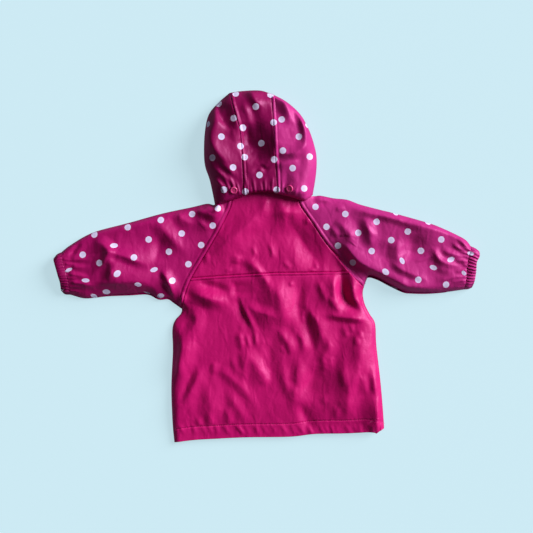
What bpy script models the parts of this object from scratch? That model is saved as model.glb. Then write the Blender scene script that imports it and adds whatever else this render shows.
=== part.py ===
# A toddler's raincoat lying face down on a flat surface: hood at +Y, hem at -Y, sleeves spread along X.
# All working sizes are millimetres; the meshes are written in metres.

from collections import namedtuple
from math import cos, pi, radians

import bmesh
import bpy
import numpy as np
from mathutils import Vector

MM = 0.001
CLOTH = 1.5  # wall of the upper layer: coated cloth with its backing
UNDER_LAYER = 1.2  # cloth that lies flat on the surface
GAP = 0.3  # between neighbouring pieces
REST = UNDER_LAYER + GAP  # height at which the upper layer starts, along a rolled edge
ON_LINE = 0.6  # a point nearer than this to an outer edge counts as lying on it
CREASE_SOFTNESS = 1.6  # rounding at the line of a fold
FOLD_FADE = 11.0  # folds grow from nothing over this distance from a rolled edge
CLOSE_ROWS = (1.5, 5.0)  # grid rows at these distances from a rolled edge
SHARP_ANGLE = 50  # degrees; edges steeper than this stay sharp

BODY_LOFT = 11.5  # how far the back stands over the front
SLEEVE_LOFT = 17.0
BODY_ROLL = 26.0  # width over which an edge rolls up to the full loft
SLEEVE_ROLL = 34.0
SLEEVE_STARTS, SLEEVE_FULL = 110.0, 220.0  # distance from the centre line, for loft and roll
HEM_SHARE = 0.58  # loft left at the hem
HEM_REACH = 60.0  # height over which the hem's low loft grows to the full one
BODY_CELL, YOKE_CELL, SLEEVE_CELL, HOOD_CELL = 11.0, 10.5, 12.0, 9.0  # grid steps
BODY_WIDTH, YOKE_WIDTH, SLEEVE_LENGTH, SLEEVE_WIDTH, HOOD_LENGTH = 330.0, 258.0, 250.0, 130.0, 176.0

HOOD_ROLL = 34.0
HOOD_BASE = 3.0  # radius of the roll where the hood turns under
HOOD_LOFT = ((104, 15), (125, 18), (145, 24), (170, 29), (235, 30), (290, 22))  # (y, loft)
HOOD_WALL = 1.3
CUFF_WALL = 1.2

CUFF_GATHERS = 10  # ridges across each cuff
CUFF_GATHER_RISE = 1.5
CUFF_GATHER_FADE = 0.1  # share of the cuff's width over which the gathers fade out at its two edges
NAPE_GATHER_PITCH = 5.5
NAPE_GATHER_RISE = 1.5
NAPE_GATHERS_FROM, NAPE_GATHERS_PEAK, NAPE_GATHERS_TO = 118.0, 134.0, 162.0  # along y
NAPE_GATHERS_LEFT, NAPE_GATHERS_RIGHT = -50.0, 36.0  # along x
NAPE_GATHER_FADE = 8.0
NAPE_SIDE_WIDTH = 48.0  # of one side panel of the hood, along the nape
CENTRE_COLUMNS = 21  # grid columns of the hood's centre panel
TURNED = 1.2  # share where a hood panel's small roll ends, from 1 at the outer edge to 2 at the rim

YOKE_ROWS, ARMPIT_ROWS = 13, 4  # grid rows along the raglan seams, above and below the yoke seam
SIDE_ROWS = 22  # grid rows up the lower back's side
ARMPIT_SHARE = 0.83  # of the lower back's side, from the hem to the armpit
SNAP_CAP_RADIUS, SNAP_CAP_HEIGHT = 6.0, 1.6
SNAP_STUD_RADIUS = 3.5
SNAP_SEAT = 0.75  # clearance of a snap cap's middle over the curved hood
SLOPE_REACH = 4.0  # the hood's slope under a cap is taken over this distance on either side
CROSS = np.array(((0, 0), (-1, 0), (1, 0), (0, -1), (0, 1)))
HOOD_SNAPS = {"left": (-53.0, 124.0), "right": (38.0, 127.0)}
PLACKET_LEFT, PLACKET_RIGHT = -18.0, 20.0
PLACKET_TOP = 70.0
PLACKET_LIFT = 0.9  # the snap caps under the placket hold it off the surface
FRONT_SNAP_HEIGHT = 0.6
FRONT_SNAPS = 5
FIRST_SNAP, LAST_SNAP = 22.0, 40.0  # distance of the end snaps from the placket's top and from the hem
FRONT_CORNER = 2.0  # an outline point nearer to the placket than this is left out
FRONT_HEM_RISE = 2.5  # the front's hem lies just inside the back's

# Outlines, seen from above. Each runs with the cloth on its right-hand side where it is an outer edge.
LEFT_SLEEVE_TOP = (
    (-338, 23.5), (-328, 32), (-300, 49.5), (-275, 59.6), (-227, 72), (-173, 87), (-122, 98), (-98, 103.5),
    (-88, 101)
)
LEFT_SLEEVE_UNDER = (
    (-140, -68.5), (-154, -58.4), (-163, -52.6), (-178, -53.2), (-196, -45.2), (-224, -46.5), (-264, -48.5),
    (-298, -53), (-324, -47)
)
LEFT_CUFF_TOP = ((-350.5, 14), (-345, 20.5), (-338, 23.5))
LEFT_CUFF_UNDER = ((-324, -47), (-333, -46.3), (-338.5, -41))
RIGHT_SLEEVE_TOP = (
    (81, 116), (90, 116.8), (111, 112.6), (134, 110), (155, 102.2), (186, 94), (214, 87), (267, 72),
    (292, 62.6), (321, 48.8), (331, 42), (337.5, 33.5)
)
RIGHT_SLEEVE_UNDER = (
    (326, -38.4), (300, -41.8), (266, -44), (240, -43.4), (226, -41.4), (203, -30.5), (185, -20.8),
    (170, -16.5), (165, -24.5), (162, -33.2)
)
RIGHT_CUFF_TOP = ((337.5, 33.5), (345, 30.3), (350.5, 26))
RIGHT_CUFF_UNDER = ((338.6, -36), (333, -38), (326, -38.4))
LEFT_SIDE = (
    (-152, -290.5), (-155, -258), (-157, -200), (-154.5, -140), (-155.3, -105), (-150.8, -89.5),
    (-141.4, -78.6), (-139, -71)
)
RIGHT_SIDE = (
    (160.5, -36.2), (159.5, -47), (163, -63), (171, -79), (180, -95), (182, -130), (188.3, -185), (192, -225),
    (194.6, -262), (194.6, -267.5)
)
HEM = (
    (-152, -290.5), (-120, -286.5), (-87, -284.5), (-33, -282), (39, -281), (80, -276.5), (130, -275.5),
    (165, -273.6), (178, -274), (181.5, -275.6), (186, -272), (194.6, -267.5)
)
LEFT_RAGLAN = ((-56, 111), (-61, 93), (-78, 59), (-100, 21), (-122, -16), (-133, -42), (-139.5, -69.7))
RIGHT_RAGLAN = ((52, 111), (58, 97), (75, 73), (90, 50), (105, 30), (118, 16), (141, -14), (161.1, -34.8))
YOKE_SEAM = ((-123.6, -19.5), (-100, -17.5), (-63, -15), (6, -11), (56, -10.2), (136, -8.4))
NECK = ((-56, 111), (-37, 118), (0, 123.5), (30, 119), (52, 111))
LEFT_NECK_END = ((-88, 101), (-72, 104.8), (-56, 111))
RIGHT_NECK_END = ((52, 111), (61, 105), (71, 108.5), (81, 116))
LEFT_CUFF_SEAM = ((-338, 23.5), (-332, 0), (-328, -14), (-325, -30), (-324, -47))
LEFT_CUFF_EDGE = ((-350.5, 14), (-346.5, 0), (-341.5, -18), (-339, -28), (-338.5, -41))
RIGHT_CUFF_SEAM = ((337.5, 33.5), (331.5, 10), (329.5, -14), (326, -38.4))
RIGHT_CUFF_EDGE = ((350.5, 26), (350, 16), (345.7, 7), (344.5, -8), (342, -24), (338.6, -36))
FRONT_NECK_LEFT = ((-56, 109), (-42, 86), (-18, 71))
FRONT_NECK_RIGHT = ((20, 71), (42, 86), (52, 109))
BAND_TOP = ((-59, 128), (-37, 138), (0, 143.5), (30, 139), (54, 129))

HOOD_SEAM_LEFT = (
    (-37, 115.5), (-37.5, 140), (-39, 168), (-41, 200), (-44, 225), (-49, 243), (-55, 264), (-59.5, 286.6)
)
HOOD_SEAM_RIGHT = ((18, 118.8), (17, 145), (15, 172), (13, 200), (12, 225), (10, 255), (8, 285))
HOOD_EDGE_LEFT = (
    (-84.4, 105), (-93, 141), (-101, 165), (-103, 190), (-101.4, 223), (-95.3, 250),
    (-79.6, 269.7), (-61, 286)
)
HOOD_TOP = ((-59.5, 286.6), (-40, 289.5), (-11, 290.5), (8, 285))
HOOD_EDGE_RIGHT = (
    (9.5, 284.6), (33, 272), (56, 251.2), (70.5, 225.8), (79.4, 199.8), (83.3, 178), (82, 150), (76.8, 118)
)
NAPE_LEFT = ((-37, 115.5), (-50, 112), (-62, 108.5), (-84.4, 105))
NAPE_CENTRE = ((-37, 115.5), (-20, 119.5), (0, 120.8), (18, 118.8))
NAPE_RIGHT = ((18, 118.8), (45, 112), (61, 107.5), (70, 112), (76.8, 118))
FACE_RIM_LEFT = ((-76, 108), (-73, 130), (-71, 165), (-70, 200), (-63, 233), (-43, 256))
FACE_RIM_TOP = ((-42, 256.6), (-18, 262), (4, 259))
FACE_RIM_RIGHT = ((4.6, 258.8), (27, 247), (44, 224), (53, 195), (55, 160), (60, 135), (68, 120))

# A fold is a soft ridge (rise > 0) or trough (rise < 0) along a path, strongest at the share `peak` of its
# length. left and right are its widths on either hand, seen along the path.
Fold = namedtuple("Fold", "path rise left right peak")

BODY_FOLDS = (
    Fold(((-150, -97), (-140, -125), (-143, -150), (-152, -195)), 5.0, 20, 9, 0.5),
    Fold(((-137, -77), (-118, -82), (-120, -97), (-138, -125)), 4.0, 16, 11, 0.4),
    Fold(((-118, -54), (-92, -58), (-62, -64)), 3.5, 18, 8, 0.4),
    Fold(((-112, -28), (-85, -39), (-57, -50)), -3.0, 9, 12, 0.5),
    Fold(((-47, -55), (-40, -75), (-31, -95), (-24, -115)), -3.5, 9, 13, 0.3),
    Fold(((-42, -58), (-28, -78), (-17, -95), (-10, -115)), 4.0, 14, 9, 0.4),
    Fold(((-36, -62), (-15, -79), (25, -89)), 3.0, 12, 11, 0.4),
    Fold(((-80, -167), (-64, -180), (-44, -198)), 3.0, 12, 7, 0.2),
    Fold(((-84, -174), (-66, -190), (-50, -203)), -2.5, 7, 10, 0.3),
    Fold(((-62, -205), (-42, -224), (-26, -250)), 3.0, 13, 8, 0.5),
    Fold(((-71, -206), (-58, -230), (-36, -258)), -2.5, 8, 12, 0.5),
    Fold(((-87, -178), (-86, -205), (-84, -258)), 3.5, 14, 20, 0.6),
    Fold(((-112, -172), (-119, -200), (-136, -240)), 3.5, 16, 10, 0.4),
    Fold(((-126, -175), (-135, -202), (-147, -236)), -2.5, 9, 12, 0.4),
    Fold(((-34, -160), (-35, -185), (-37, -210)), 2.5, 16, 10, 0.5),
    Fold(((10, -16), (14, -40), (26, -58), (27, -90)), 4.0, 20, 16, 0.4),
    Fold(((52, -16), (54, -40), (48, -70), (55, -102)), -3.5, 9, 20, 0.6),
    Fold(((20, -98), (33, -124), (50, -148)), 3.0, 12, 10, 0.5),
    Fold(((33, -98), (46, -116), (58, -134)), -2.5, 8, 11, 0.5),
    Fold(((62, -68), (72, -98), (74, -125), (84, -154)), -4.5, 10, 17, 0.4),
    Fold(((72, -68), (84, -92), (87, -110), (84, -134)), 4.0, 22, 10, 0.4),
    Fold(((92, -110), (101, -130), (96, -145), (90, -170)), 3.0, 14, 10, 0.5),
    Fold(((58, -160), (55, -190), (48, -250)), 4.0, 22, 9, 0.4),
    Fold(((84, -168), (76, -200), (57, -238)), -3.5, 12, 18, 0.4),
    Fold(((1, -105), (7, -140), (10, -205)), -3.5, 15, 16, 0.5),
    Fold(((30, -162), (32, -188), (43, -218)), 3.0, 12, 11, 0.5),
    Fold(((126, -140), (132, -190), (130, -262)), 4.0, 16, 40, 0.6),
    Fold(((88, -84), (125, -84.5), (172, -88)), 3.5, 14, 9, 0.4),
    Fold(((126, -8), (127, -42), (142, -64), (158, -76)), -6.5, 12, 11, 0.5),
    Fold(((146, -22), (143, -48), (153, -64), (165, -77)), 4.0, 12, 9, 0.5),
    Fold(((113, -14), (112, -45), (124, -80)), 4.0, 12, 24, 0.5),
    Fold(((148, -108), (151, -128), (146, -160), (133, -200)), 4.5, 20, 16, 0.5),
    Fold(((174, -165), (182, -205), (181, -275)), 4.5, 12, 20, 0.8),
    Fold(((-8, 112), (-14, 84), (-45, 56), (-98, 8)), 4.0, 22, 17, 0.4),
    Fold(((-38, 114), (-44, 82), (-66, 56), (-102, 13)), -3.5, 15, 14, 0.4),
    Fold(((24, 114), (26, 98), (40, 87), (62, 86)), 3.5, 14, 16, 0.5),
    Fold(((-42, 15), (-27, 6), (-17, -3), (-14, -14)), 3.0, 14, 8, 0.4),
    Fold(((-2, 40), (5, 26), (9, 8)), 2.5, 10, 8, 0.4),
    Fold(((72, 66), (86, 48), (110, 16)), -3.5, 12, 10, 0.6),
)
SLEEVE_FOLDS = (
    Fold(((-288, 47), (-262, 30), (-268, 12), (-292, -18)), 5.0, 20, 22, 0.4),
    Fold(((-262, 36), (-236, 24), (-212, 13), (-186, 8)), 4.0, 16, 9, 0.4),
    Fold(((-170, 56), (-178, 30), (-181, 2)), -3.5, 20, 13, 0.5),
    Fold(((-152, 90), (-142, 74), (-128, 68), (-102, 66)), 3.5, 13, 9, 0.5),
    Fold(((-104, 94), (-78, 89)), -4.5, 9, 8, 0.5),
    Fold(((-170, -12), (-158, -28), (-142, -44)), -4.0, 9, 10, 0.5),
    Fold(((-116, 40), (-128, 14), (-138, -20)), 3.0, 14, 16, 0.5),
    Fold(((-318, 18), (-296, 8), (-276, 6)), -2.5, 10, 10, 0.4),
    Fold(((136, 99), (152, 88), (196, 81), (236, 68)), 3.5, 14, 9, 0.3),
    Fold(((158, 88), (163, 62), (162, 44), (176, 14)), 4.0, 18, 10, 0.5),
    Fold(((124, 64), (139, 50), (131, 30)), 5.0, 16, 20, 0.5),
    Fold(((128, 36), (143, 18), (162, 3), (186, -10), (228, -28)), 4.5, 14, 8, 0.4),
    Fold(((134, 14), (148, -2), (166, -10), (204, -27)), -6.0, 9, 18, 0.4),
    Fold(((217, 50), (203, 28), (190, 6)), -3.0, 12, 14, 0.5),
    Fold(((243, 55), (238, 28), (236, 6)), -4.0, 18, 14, 0.5),
    Fold(((276, 36), (281, 12), (296, 3), (322, -2)), 4.5, 12, 9, 0.5),
    Fold(((196, 6), (236, -12), (276, -24), (322, -14)), 3.0, 12, 9, 0.5),
    Fold(((310, 50), (321, 37), (334, 24)), -3.0, 9, 10, 0.6),
    Fold(((70, 99), (88, 101), (112, 110)), 3.5, 7, 12, 0.4),
)
HOOD_FOLDS = (
    Fold(((-84, 262), (-81, 232), (-89, 207), (-76, 182), (-50, 152)), 5.5, 20, 13, 0.5),
    Fold(((-76, 272), (-70, 242), (-60, 226)), -4.0, 14, 12, 0.4),
    Fold(((-58, 280), (-49, 243), (-43, 215), (-40, 185)), 4.5, 10, 12, 0.4),
    Fold(((-48, 278), (-38, 252), (-27, 226)), 3.0, 9, 8, 0.4),
    Fold(((-14, 252), (-20, 226), (-10, 195), (-4, 160)), -8.0, 17, 16, 0.5),
    Fold(((10, 262), (12, 225), (14, 190), (16, 150)), 4.5, 13, 11, 0.5),
    Fold(((-10, 287), (6, 264), (22, 242)), -5.0, 10, 9, 0.4),
    Fold(((2, 287), (22, 268), (31, 240)), 4.5, 14, 9, 0.4),
    Fold(((38, 266), (52, 242), (62, 212), (60, 192)), 5.0, 14, 16, 0.5),
    Fold(((20, 182), (40, 183), (64, 192)), 4.5, 20, 10, 0.5),
    Fold(((-88, 164), (-66, 150), (-46, 137)), 3.5, 10, 9, 0.5),
    Fold(((34, 158), (50, 150), (70, 150)), 3.0, 10, 9, 0.5),
)


def linear(hex_colour):
    # sRGB hex to linear RGBA
    channels = [int(hex_colour[i:i + 2], 16) / 255 for i in (0, 2, 4)]
    return [c / 12.92 if c <= 0.04045 else ((c + 0.055) / 1.055) ** 2.4 for c in channels] + [1.0]


def new_material(name, hex_colour, roughness):
    material = bpy.data.materials.new(name)
    material.use_nodes = True
    shader = material.node_tree.nodes["Principled BSDF"]
    shader.inputs["Base Color"].default_value = linear(hex_colour)
    shader.inputs["Roughness"].default_value = roughness
    shader.inputs["Metallic"].default_value = 0.0
    material.diffuse_color = linear(hex_colour)
    return material


def smooth(value, low, high):
    share = np.clip((value - low) / (high - low), 0.0, 1.0)
    return share * share * (3.0 - 2.0 * share)


def spline(points, pieces=6):
    # A smooth line through the points, as a dense polyline (Catmull-Rom).
    knots = np.array(points, float)
    before = 2 * knots[0] - knots[1]
    after = 2 * knots[-1] - knots[-2]
    chain = np.vstack((before, knots, after))
    t = np.linspace(0, 1, pieces, endpoint=False)[:, None]
    line = []
    for i in range(1, len(chain) - 2):
        p0, p1, p2, p3 = chain[i - 1:i + 3]
        square, cube = 2 * p0 - 5 * p1 + 4 * p2 - p3, 3 * p1 - p0 - 3 * p2 + p3
        line.append(p1 + 0.5 * ((p2 - p0) * t + square * t**2 + cube * t**3))
    line.append(knots[-1:])
    return np.vstack(line)


def lengths(line):
    steps = np.linalg.norm(np.diff(line, axis=0), axis=1)
    return np.concatenate(([0.0], np.cumsum(steps)))


def at_share(line, share):
    # The points at these shares of a line's length, or of its own steps where the line comes with them.
    if isinstance(line, tuple):
        steps, line = line
    else:
        steps = lengths(line)
    return np.stack([np.interp(share * steps[-1], steps, line[:, axis]) for axis in (0, 1)], axis=-1)


def moved_right(line, distance):
    # The line moved towards its right-hand side.
    tangent = np.gradient(line, axis=0)
    tangent /= np.linalg.norm(tangent, axis=1)[:, None]
    return line + distance * np.stack((tangent[:, 1], -tangent[:, 0]), axis=-1)


def above(line, level):
    # The stretch of a falling line that lies above this y.
    crossing = np.array([[np.interp(-level, -line[:, 1], line[:, 0]), level]])
    return np.vstack((line[line[:, 1] > level], crossing))


def below(line, level):
    crossing = np.array([[np.interp(-level, -line[:, 1], line[:, 0]), level]])
    return np.vstack((crossing, line[line[:, 1] < level]))


def from_line(points, line):
    # Distance to the line, signed distance to its left, share of its length, and unit vector away from it.
    start, step = line[:-1], np.diff(line, axis=0)
    size = np.einsum("ij,ij->i", step, step)
    offset = points[:, None, :] - start[None]
    share = np.clip(np.einsum("nij,ij->ni", offset, step) / size, 0, 1)
    away = offset - share[..., None] * step
    squared = np.einsum("nij,nij->ni", away, away)
    nearest = squared.argmin(axis=1)
    rows = np.arange(len(points))
    distance = np.sqrt(squared[rows, nearest])
    along = step[nearest] / np.sqrt(size[nearest])[:, None]
    vector = away[rows, nearest]
    side = along[:, 0] * vector[:, 1] - along[:, 1] * vector[:, 0]
    run = lengths(line)
    position = (run[nearest] + share[rows, nearest] * np.sqrt(size[nearest])) / run[-1]
    rightwards = np.stack((along[:, 1], -along[:, 0]), axis=-1)
    unit = np.where(distance[:, None] > ON_LINE, vector / np.maximum(distance, ON_LINE)[:, None], rightwards)
    return distance, side, position, unit


def from_edges(points, edges):
    # Distance to the nearest of several outer edges, and the unit vector inwards from it.
    results = [from_line(points, edge) for edge in edges]
    distances = np.stack([result[0] for result in results])
    nearest = distances.argmin(axis=0)
    rows = np.arange(len(points))
    inward = np.stack([result[3] for result in results])[nearest, rows]
    return distances[nearest, rows], inward


def fold_heights(points, folds):
    total = np.zeros(len(points))
    for fold in folds:
        distance, side, position, _ = from_line(points, spline(fold.path, 4))
        lean = side / np.maximum(distance, 1e-6)
        width = (fold.left + fold.right) / 2 + (fold.left - fold.right) / 2 * lean
        reach = np.sqrt(distance**2 + CREASE_SOFTNESS**2) - CREASE_SOFTNESS
        before = np.sin(pi / 2 * np.clip(position / fold.peak, 0, 1))
        after = np.cos(pi / 2 * np.clip((position - fold.peak) / (1 - fold.peak), 0, 1))
        total += fold.rise * np.clip(1 - reach / width, 0, 1) ** 2 * before * after
    return total


def patch(bottom, top, left, right, across, up):
    # A Coons patch between four edge lines; across and up are shares from 0 to 1.
    a, b = across[:, None], up[:, None]
    edges = (1 - b) * at_share(bottom, across) + b * at_share(top, across)
    sides = (1 - a) * at_share(left, up) + a * at_share(right, up)
    ends = np.array((0.0, 1.0))
    low, high, west, east = (at_share(line, ends) for line in (bottom, top, left, right))
    low_corners, high_corners = (low + (west[0], east[0])) / 2, (high + (west[1], east[1])) / 2
    bilinear = (1 - b) * ((1 - a) * low_corners[0] + a * low_corners[1])
    bilinear += b * ((1 - a) * high_corners[0] + a * high_corners[1])
    return edges + sides - bilinear


def stations(length, step, finish=(), start=()):
    # Shares of a length, evenly stepped, with extra close rows at distances from its start and its finish.
    low, high = max(start, default=0.0), length - max(finish, default=0.0)
    middle = np.linspace(low, high, max(2, round((high - low) / step) + 1))
    values = np.concatenate(([0.0], start, middle, length - np.array(finish, float), [length]))
    return np.unique(np.round(values, 4)) / length


rolled = [
    spline(edge)
    for edge in (
        LEFT_CUFF_TOP, LEFT_SLEEVE_TOP, RIGHT_SLEEVE_TOP, RIGHT_CUFF_TOP, RIGHT_CUFF_UNDER,
        RIGHT_SLEEVE_UNDER, RIGHT_SIDE, LEFT_SIDE, LEFT_SLEEVE_UNDER, LEFT_CUFF_UNDER
    )
]
hood_edges = [np.vstack([spline(edge) for edge in (HOOD_EDGE_LEFT, HOOD_TOP, HOOD_EDGE_RIGHT)])]
hem_line = spline(HEM)


def rolled_surface(distance, inward, loft, roll):
    # Height over a rolled edge, and the outward normal of that plain roll.
    share = np.clip(distance / roll, 0, 1)
    height = np.sqrt(1 - (1 - share) ** 2)
    normal = np.column_stack((-(loft / roll * (1 - share))[:, None] * inward, height))
    return loft * height, normal / np.linalg.norm(normal, axis=1)[:, None]


def garment_surface(points):
    # Outer points of the upper layer at these plan points, and the directions of the wall's thickness.
    distance, inward = from_edges(points, rolled)
    sleeve = smooth(np.abs(points[:, 0]), SLEEVE_STARTS, SLEEVE_FULL)
    loft = BODY_LOFT + (SLEEVE_LOFT - BODY_LOFT) * sleeve
    roll = BODY_ROLL + (SLEEVE_ROLL - BODY_ROLL) * sleeve
    from_hem = from_line(points, hem_line)[0]
    loft *= np.where(sleeve < 0.8, HEM_SHARE + (1 - HEM_SHARE) * smooth(from_hem, 0, HEM_REACH), 1.0)
    height, normal = rolled_surface(distance, inward, loft, roll)
    folds = fold_heights(points, BODY_FOLDS + SLEEVE_FOLDS) * smooth(distance, 0, FOLD_FADE)
    return np.column_stack((points, REST + height + folds)), normal


def hood_height(points):
    distance, inward = from_edges(points, hood_edges)
    loft = np.interp(points[:, 1], *zip(*HOOD_LOFT))
    height, normal = rolled_surface(distance, inward, loft, HOOD_ROLL)
    x, y = points.T
    gathers = NAPE_GATHER_RISE * np.cos(2 * pi * (x - HOOD_SEAM_LEFT[0][0]) / NAPE_GATHER_PITCH)
    gathers *= smooth(y, NAPE_GATHERS_FROM, NAPE_GATHERS_PEAK)
    gathers *= smooth(-y, -NAPE_GATHERS_TO, -NAPE_GATHERS_PEAK)
    gathers *= smooth(x, NAPE_GATHERS_LEFT, NAPE_GATHERS_LEFT + NAPE_GATHER_FADE)
    gathers *= smooth(-x, -NAPE_GATHERS_RIGHT, NAPE_GATHER_FADE - NAPE_GATHERS_RIGHT)
    folds = (fold_heights(points, HOOD_FOLDS) + gathers) * smooth(distance, 0, FOLD_FADE)
    return HOOD_BASE + height + folds, normal


def finish_object(name, mesh, material):
    thing = bpy.data.objects.new(name, mesh)
    mesh.materials.append(material)
    mesh.shade_smooth()
    mesh.set_sharp_from_angle(angle=radians(SHARP_ANGLE))
    coat.objects.link(thing)
    return thing


def cloth_wall(name, material, across, up, surface, thickness, ring=False):
    # A wall of cloth: a grid laid on the surface, and its copy a thickness inside, joined round the rims.
    # surface takes two arrays of shares and gives outer points and directions. A ring is closed across.
    cloth = bmesh.new()
    bmesh.ops.create_grid(cloth, x_segments=len(across) - 1, y_segments=len(up) - 1, size=0.5)
    share_across = cloth.verts.layers.float.new("across")
    share_up = cloth.verts.layers.float.new("up")
    for vert in cloth.verts:
        vert[share_across] = np.interp(vert.co.x + 0.5, np.linspace(0, 1, len(across)), across)
        vert[share_up] = np.interp(vert.co.y + 0.5, np.linspace(0, 1, len(up)), up)
        if ring:
            turn = 2 * pi * (vert.co.x + 0.5)
            vert.co = (cos(turn), np.sin(turn), vert.co.y)
    if ring:
        bmesh.ops.remove_doubles(cloth, verts=cloth.verts, dist=1e-5)
    outside = list(cloth.verts)
    made = bmesh.ops.extrude_face_region(cloth, geom=list(cloth.faces), use_keep_orig=True)
    inside = [item for item in made["geom"] if isinstance(item, bmesh.types.BMVert)]
    for verts, depth in ((outside, 0.0), (inside, thickness)):
        shares = np.array([(vert[share_across], vert[share_up]) for vert in verts])
        points, directions = surface(shares[:, 0], shares[:, 1])
        for vert, place in zip(verts, (points - depth * directions) * MM):
            vert.co = place
    bmesh.ops.recalc_face_normals(cloth, faces=cloth.faces)
    if cloth.calc_volume(signed=True) < 0:
        bmesh.ops.reverse_faces(cloth, faces=cloth.faces)
    mesh = bpy.data.meshes.new(name)
    cloth.to_mesh(mesh)
    cloth.free()
    return finish_object(name, mesh, material)


def flat_layer(name, material, outline, low, high):
    # A piece of cloth lying flat, cut to a closed outline.
    curve = bpy.data.curves.new(name, "CURVE")
    curve.dimensions = "2D"
    curve.fill_mode = "BOTH"
    curve.extrude = (high - low) / 2 * MM
    cut = curve.splines.new("POLY")
    cut.points.add(len(outline) - 1)
    for point, (x, y) in zip(cut.points, outline):
        point.co = (x * MM, y * MM, 0.0, 1.0)
    cut.use_cyclic_u = True
    curve.materials.append(material)
    piece = bpy.data.objects.new(name, curve)
    piece.location.z = (low + high) / 2 * MM
    coat.objects.link(piece)
    return piece


def joined(*lines):
    # One closed outline from lines laid end to end, with no point twice.
    points = np.vstack(lines)
    apart = np.linalg.norm(points - np.roll(points, 1, axis=0), axis=1) > 0.5
    return points[apart]


def disc(name, material, radius, height, place, normal=(0, 0, 1), sides=24, bevel=0.0):
    # A snap part: a round disc standing on `place`, with a softened upper edge.
    shape = bmesh.new()
    bmesh.ops.create_cone(
        shape, cap_ends=True, segments=sides, radius1=radius * MM, radius2=radius * MM, depth=height * MM
    )
    bmesh.ops.translate(shape, verts=shape.verts, vec=(0, 0, height / 2 * MM))
    if bevel:
        top = [edge for edge in shape.edges if all(vert.co.z > 0.9 * height * MM for vert in edge.verts)]
        bmesh.ops.bevel(shape, geom=top, offset=bevel * MM, segments=2, profile=0.5, affect="EDGES")
    mesh = bpy.data.meshes.new(name)
    shape.to_mesh(mesh)
    shape.free()
    thing = finish_object(name, mesh, material)
    thing.location = Vector(place) * MM
    thing.rotation_mode = "QUATERNION"
    thing.rotation_quaternion = Vector((0, 0, 1)).rotation_difference(Vector(normal))
    return thing


def garment_panel(name, material, bottom, top, left, right, across, up):
    def surface(a, b):
        return garment_surface(patch(bottom, top, left, right, a, b))

    return cloth_wall(name, material, across, up, surface, CLOTH)


def raglan_knots(raglan, level):
    # The raglan seam as straight stretches from the neck down, with a point where the yoke seam meets it.
    # The pieces on both its sides share these points, so that their gap stays even.
    yoke_part = at_share(above(raglan, level), np.linspace(0, 1, YOKE_ROWS + 1))
    lower_part = at_share(below(raglan, level), np.linspace(0, 1, ARMPIT_ROWS + 1))
    return np.vstack((yoke_part, lower_part[1:]))


def side_line(raglan_part, side):
    # The lower back's side as shares from 0 at the hem, with the armpit at the same share on both sides.
    dense = at_share(side, np.linspace(0, 1, 200))
    steps = np.linspace(0, ARMPIT_SHARE, 200)
    top_steps = np.linspace(ARMPIT_SHARE, 1, len(raglan_part))[1:]
    return np.concatenate((steps, top_steps)), np.vstack((dense, raglan_part[::-1][1:]))


def make_back():
    half = GAP / 2
    seam, neck = spline(YOKE_SEAM), spline(NECK)
    left, right = moved_right(left_knots, -half), moved_right(right_knots, half)
    garment_panel(
        "back_yoke", plain_cloth, seam + (0, half), neck - (0, half), left[YOKE_ROWS::-1],
        right[YOKE_ROWS::-1], yoke_columns, np.linspace(0, 1, YOKE_ROWS + 1),
    )
    rows = np.linspace(0, ARMPIT_SHARE, SIDE_ROWS)
    armpit_rows = np.linspace(ARMPIT_SHARE, 1, ARMPIT_ROWS + 1)[1:]
    garment_panel(
        "back_lower", plain_cloth, hem_line, seam - (0, half), side_line(left[YOKE_ROWS:], spline(LEFT_SIDE)),
        side_line(right[YOKE_ROWS:], spline(RIGHT_SIDE)[::-1]),
        stations(BODY_WIDTH, BODY_CELL, start=CLOSE_ROWS, finish=CLOSE_ROWS),
        np.concatenate((rows, armpit_rows)),
    )


def sleeve_rows(knots):
    # Rows across a sleeve: the raglan seam's points, and close rows along the two rolled edges.
    run = lengths(knots[::-1])
    close = np.array(CLOSE_ROWS) / SLEEVE_WIDTH
    return np.sort(np.concatenate((run / run[-1], close, 1 - close)))


def make_sleeves():
    half = GAP / 2
    left_top = np.vstack((spline(LEFT_SLEEVE_TOP), spline(LEFT_NECK_END)[1:]))
    left_raglan = moved_right(left_knots, half)[::-1]
    garment_panel(
        "sleeve_back_left", dotted_cloth, spline(LEFT_SLEEVE_UNDER)[::-1], left_top,
        spline(LEFT_CUFF_SEAM)[::-1] + (half, 0), left_raglan, stations(SLEEVE_LENGTH, SLEEVE_CELL),
        sleeve_rows(left_knots),
    )
    right_top = np.vstack((spline(RIGHT_NECK_END), spline(RIGHT_SLEEVE_TOP)[1:]))
    right_raglan = moved_right(right_knots, -half)[::-1]
    garment_panel(
        "sleeve_back_right", dotted_cloth, spline(RIGHT_SLEEVE_UNDER)[::-1], right_top, right_raglan,
        spline(RIGHT_CUFF_SEAM)[::-1] - (half, 0), stations(SLEEVE_LENGTH, SLEEVE_CELL),
        sleeve_rows(right_knots),
    )


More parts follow.
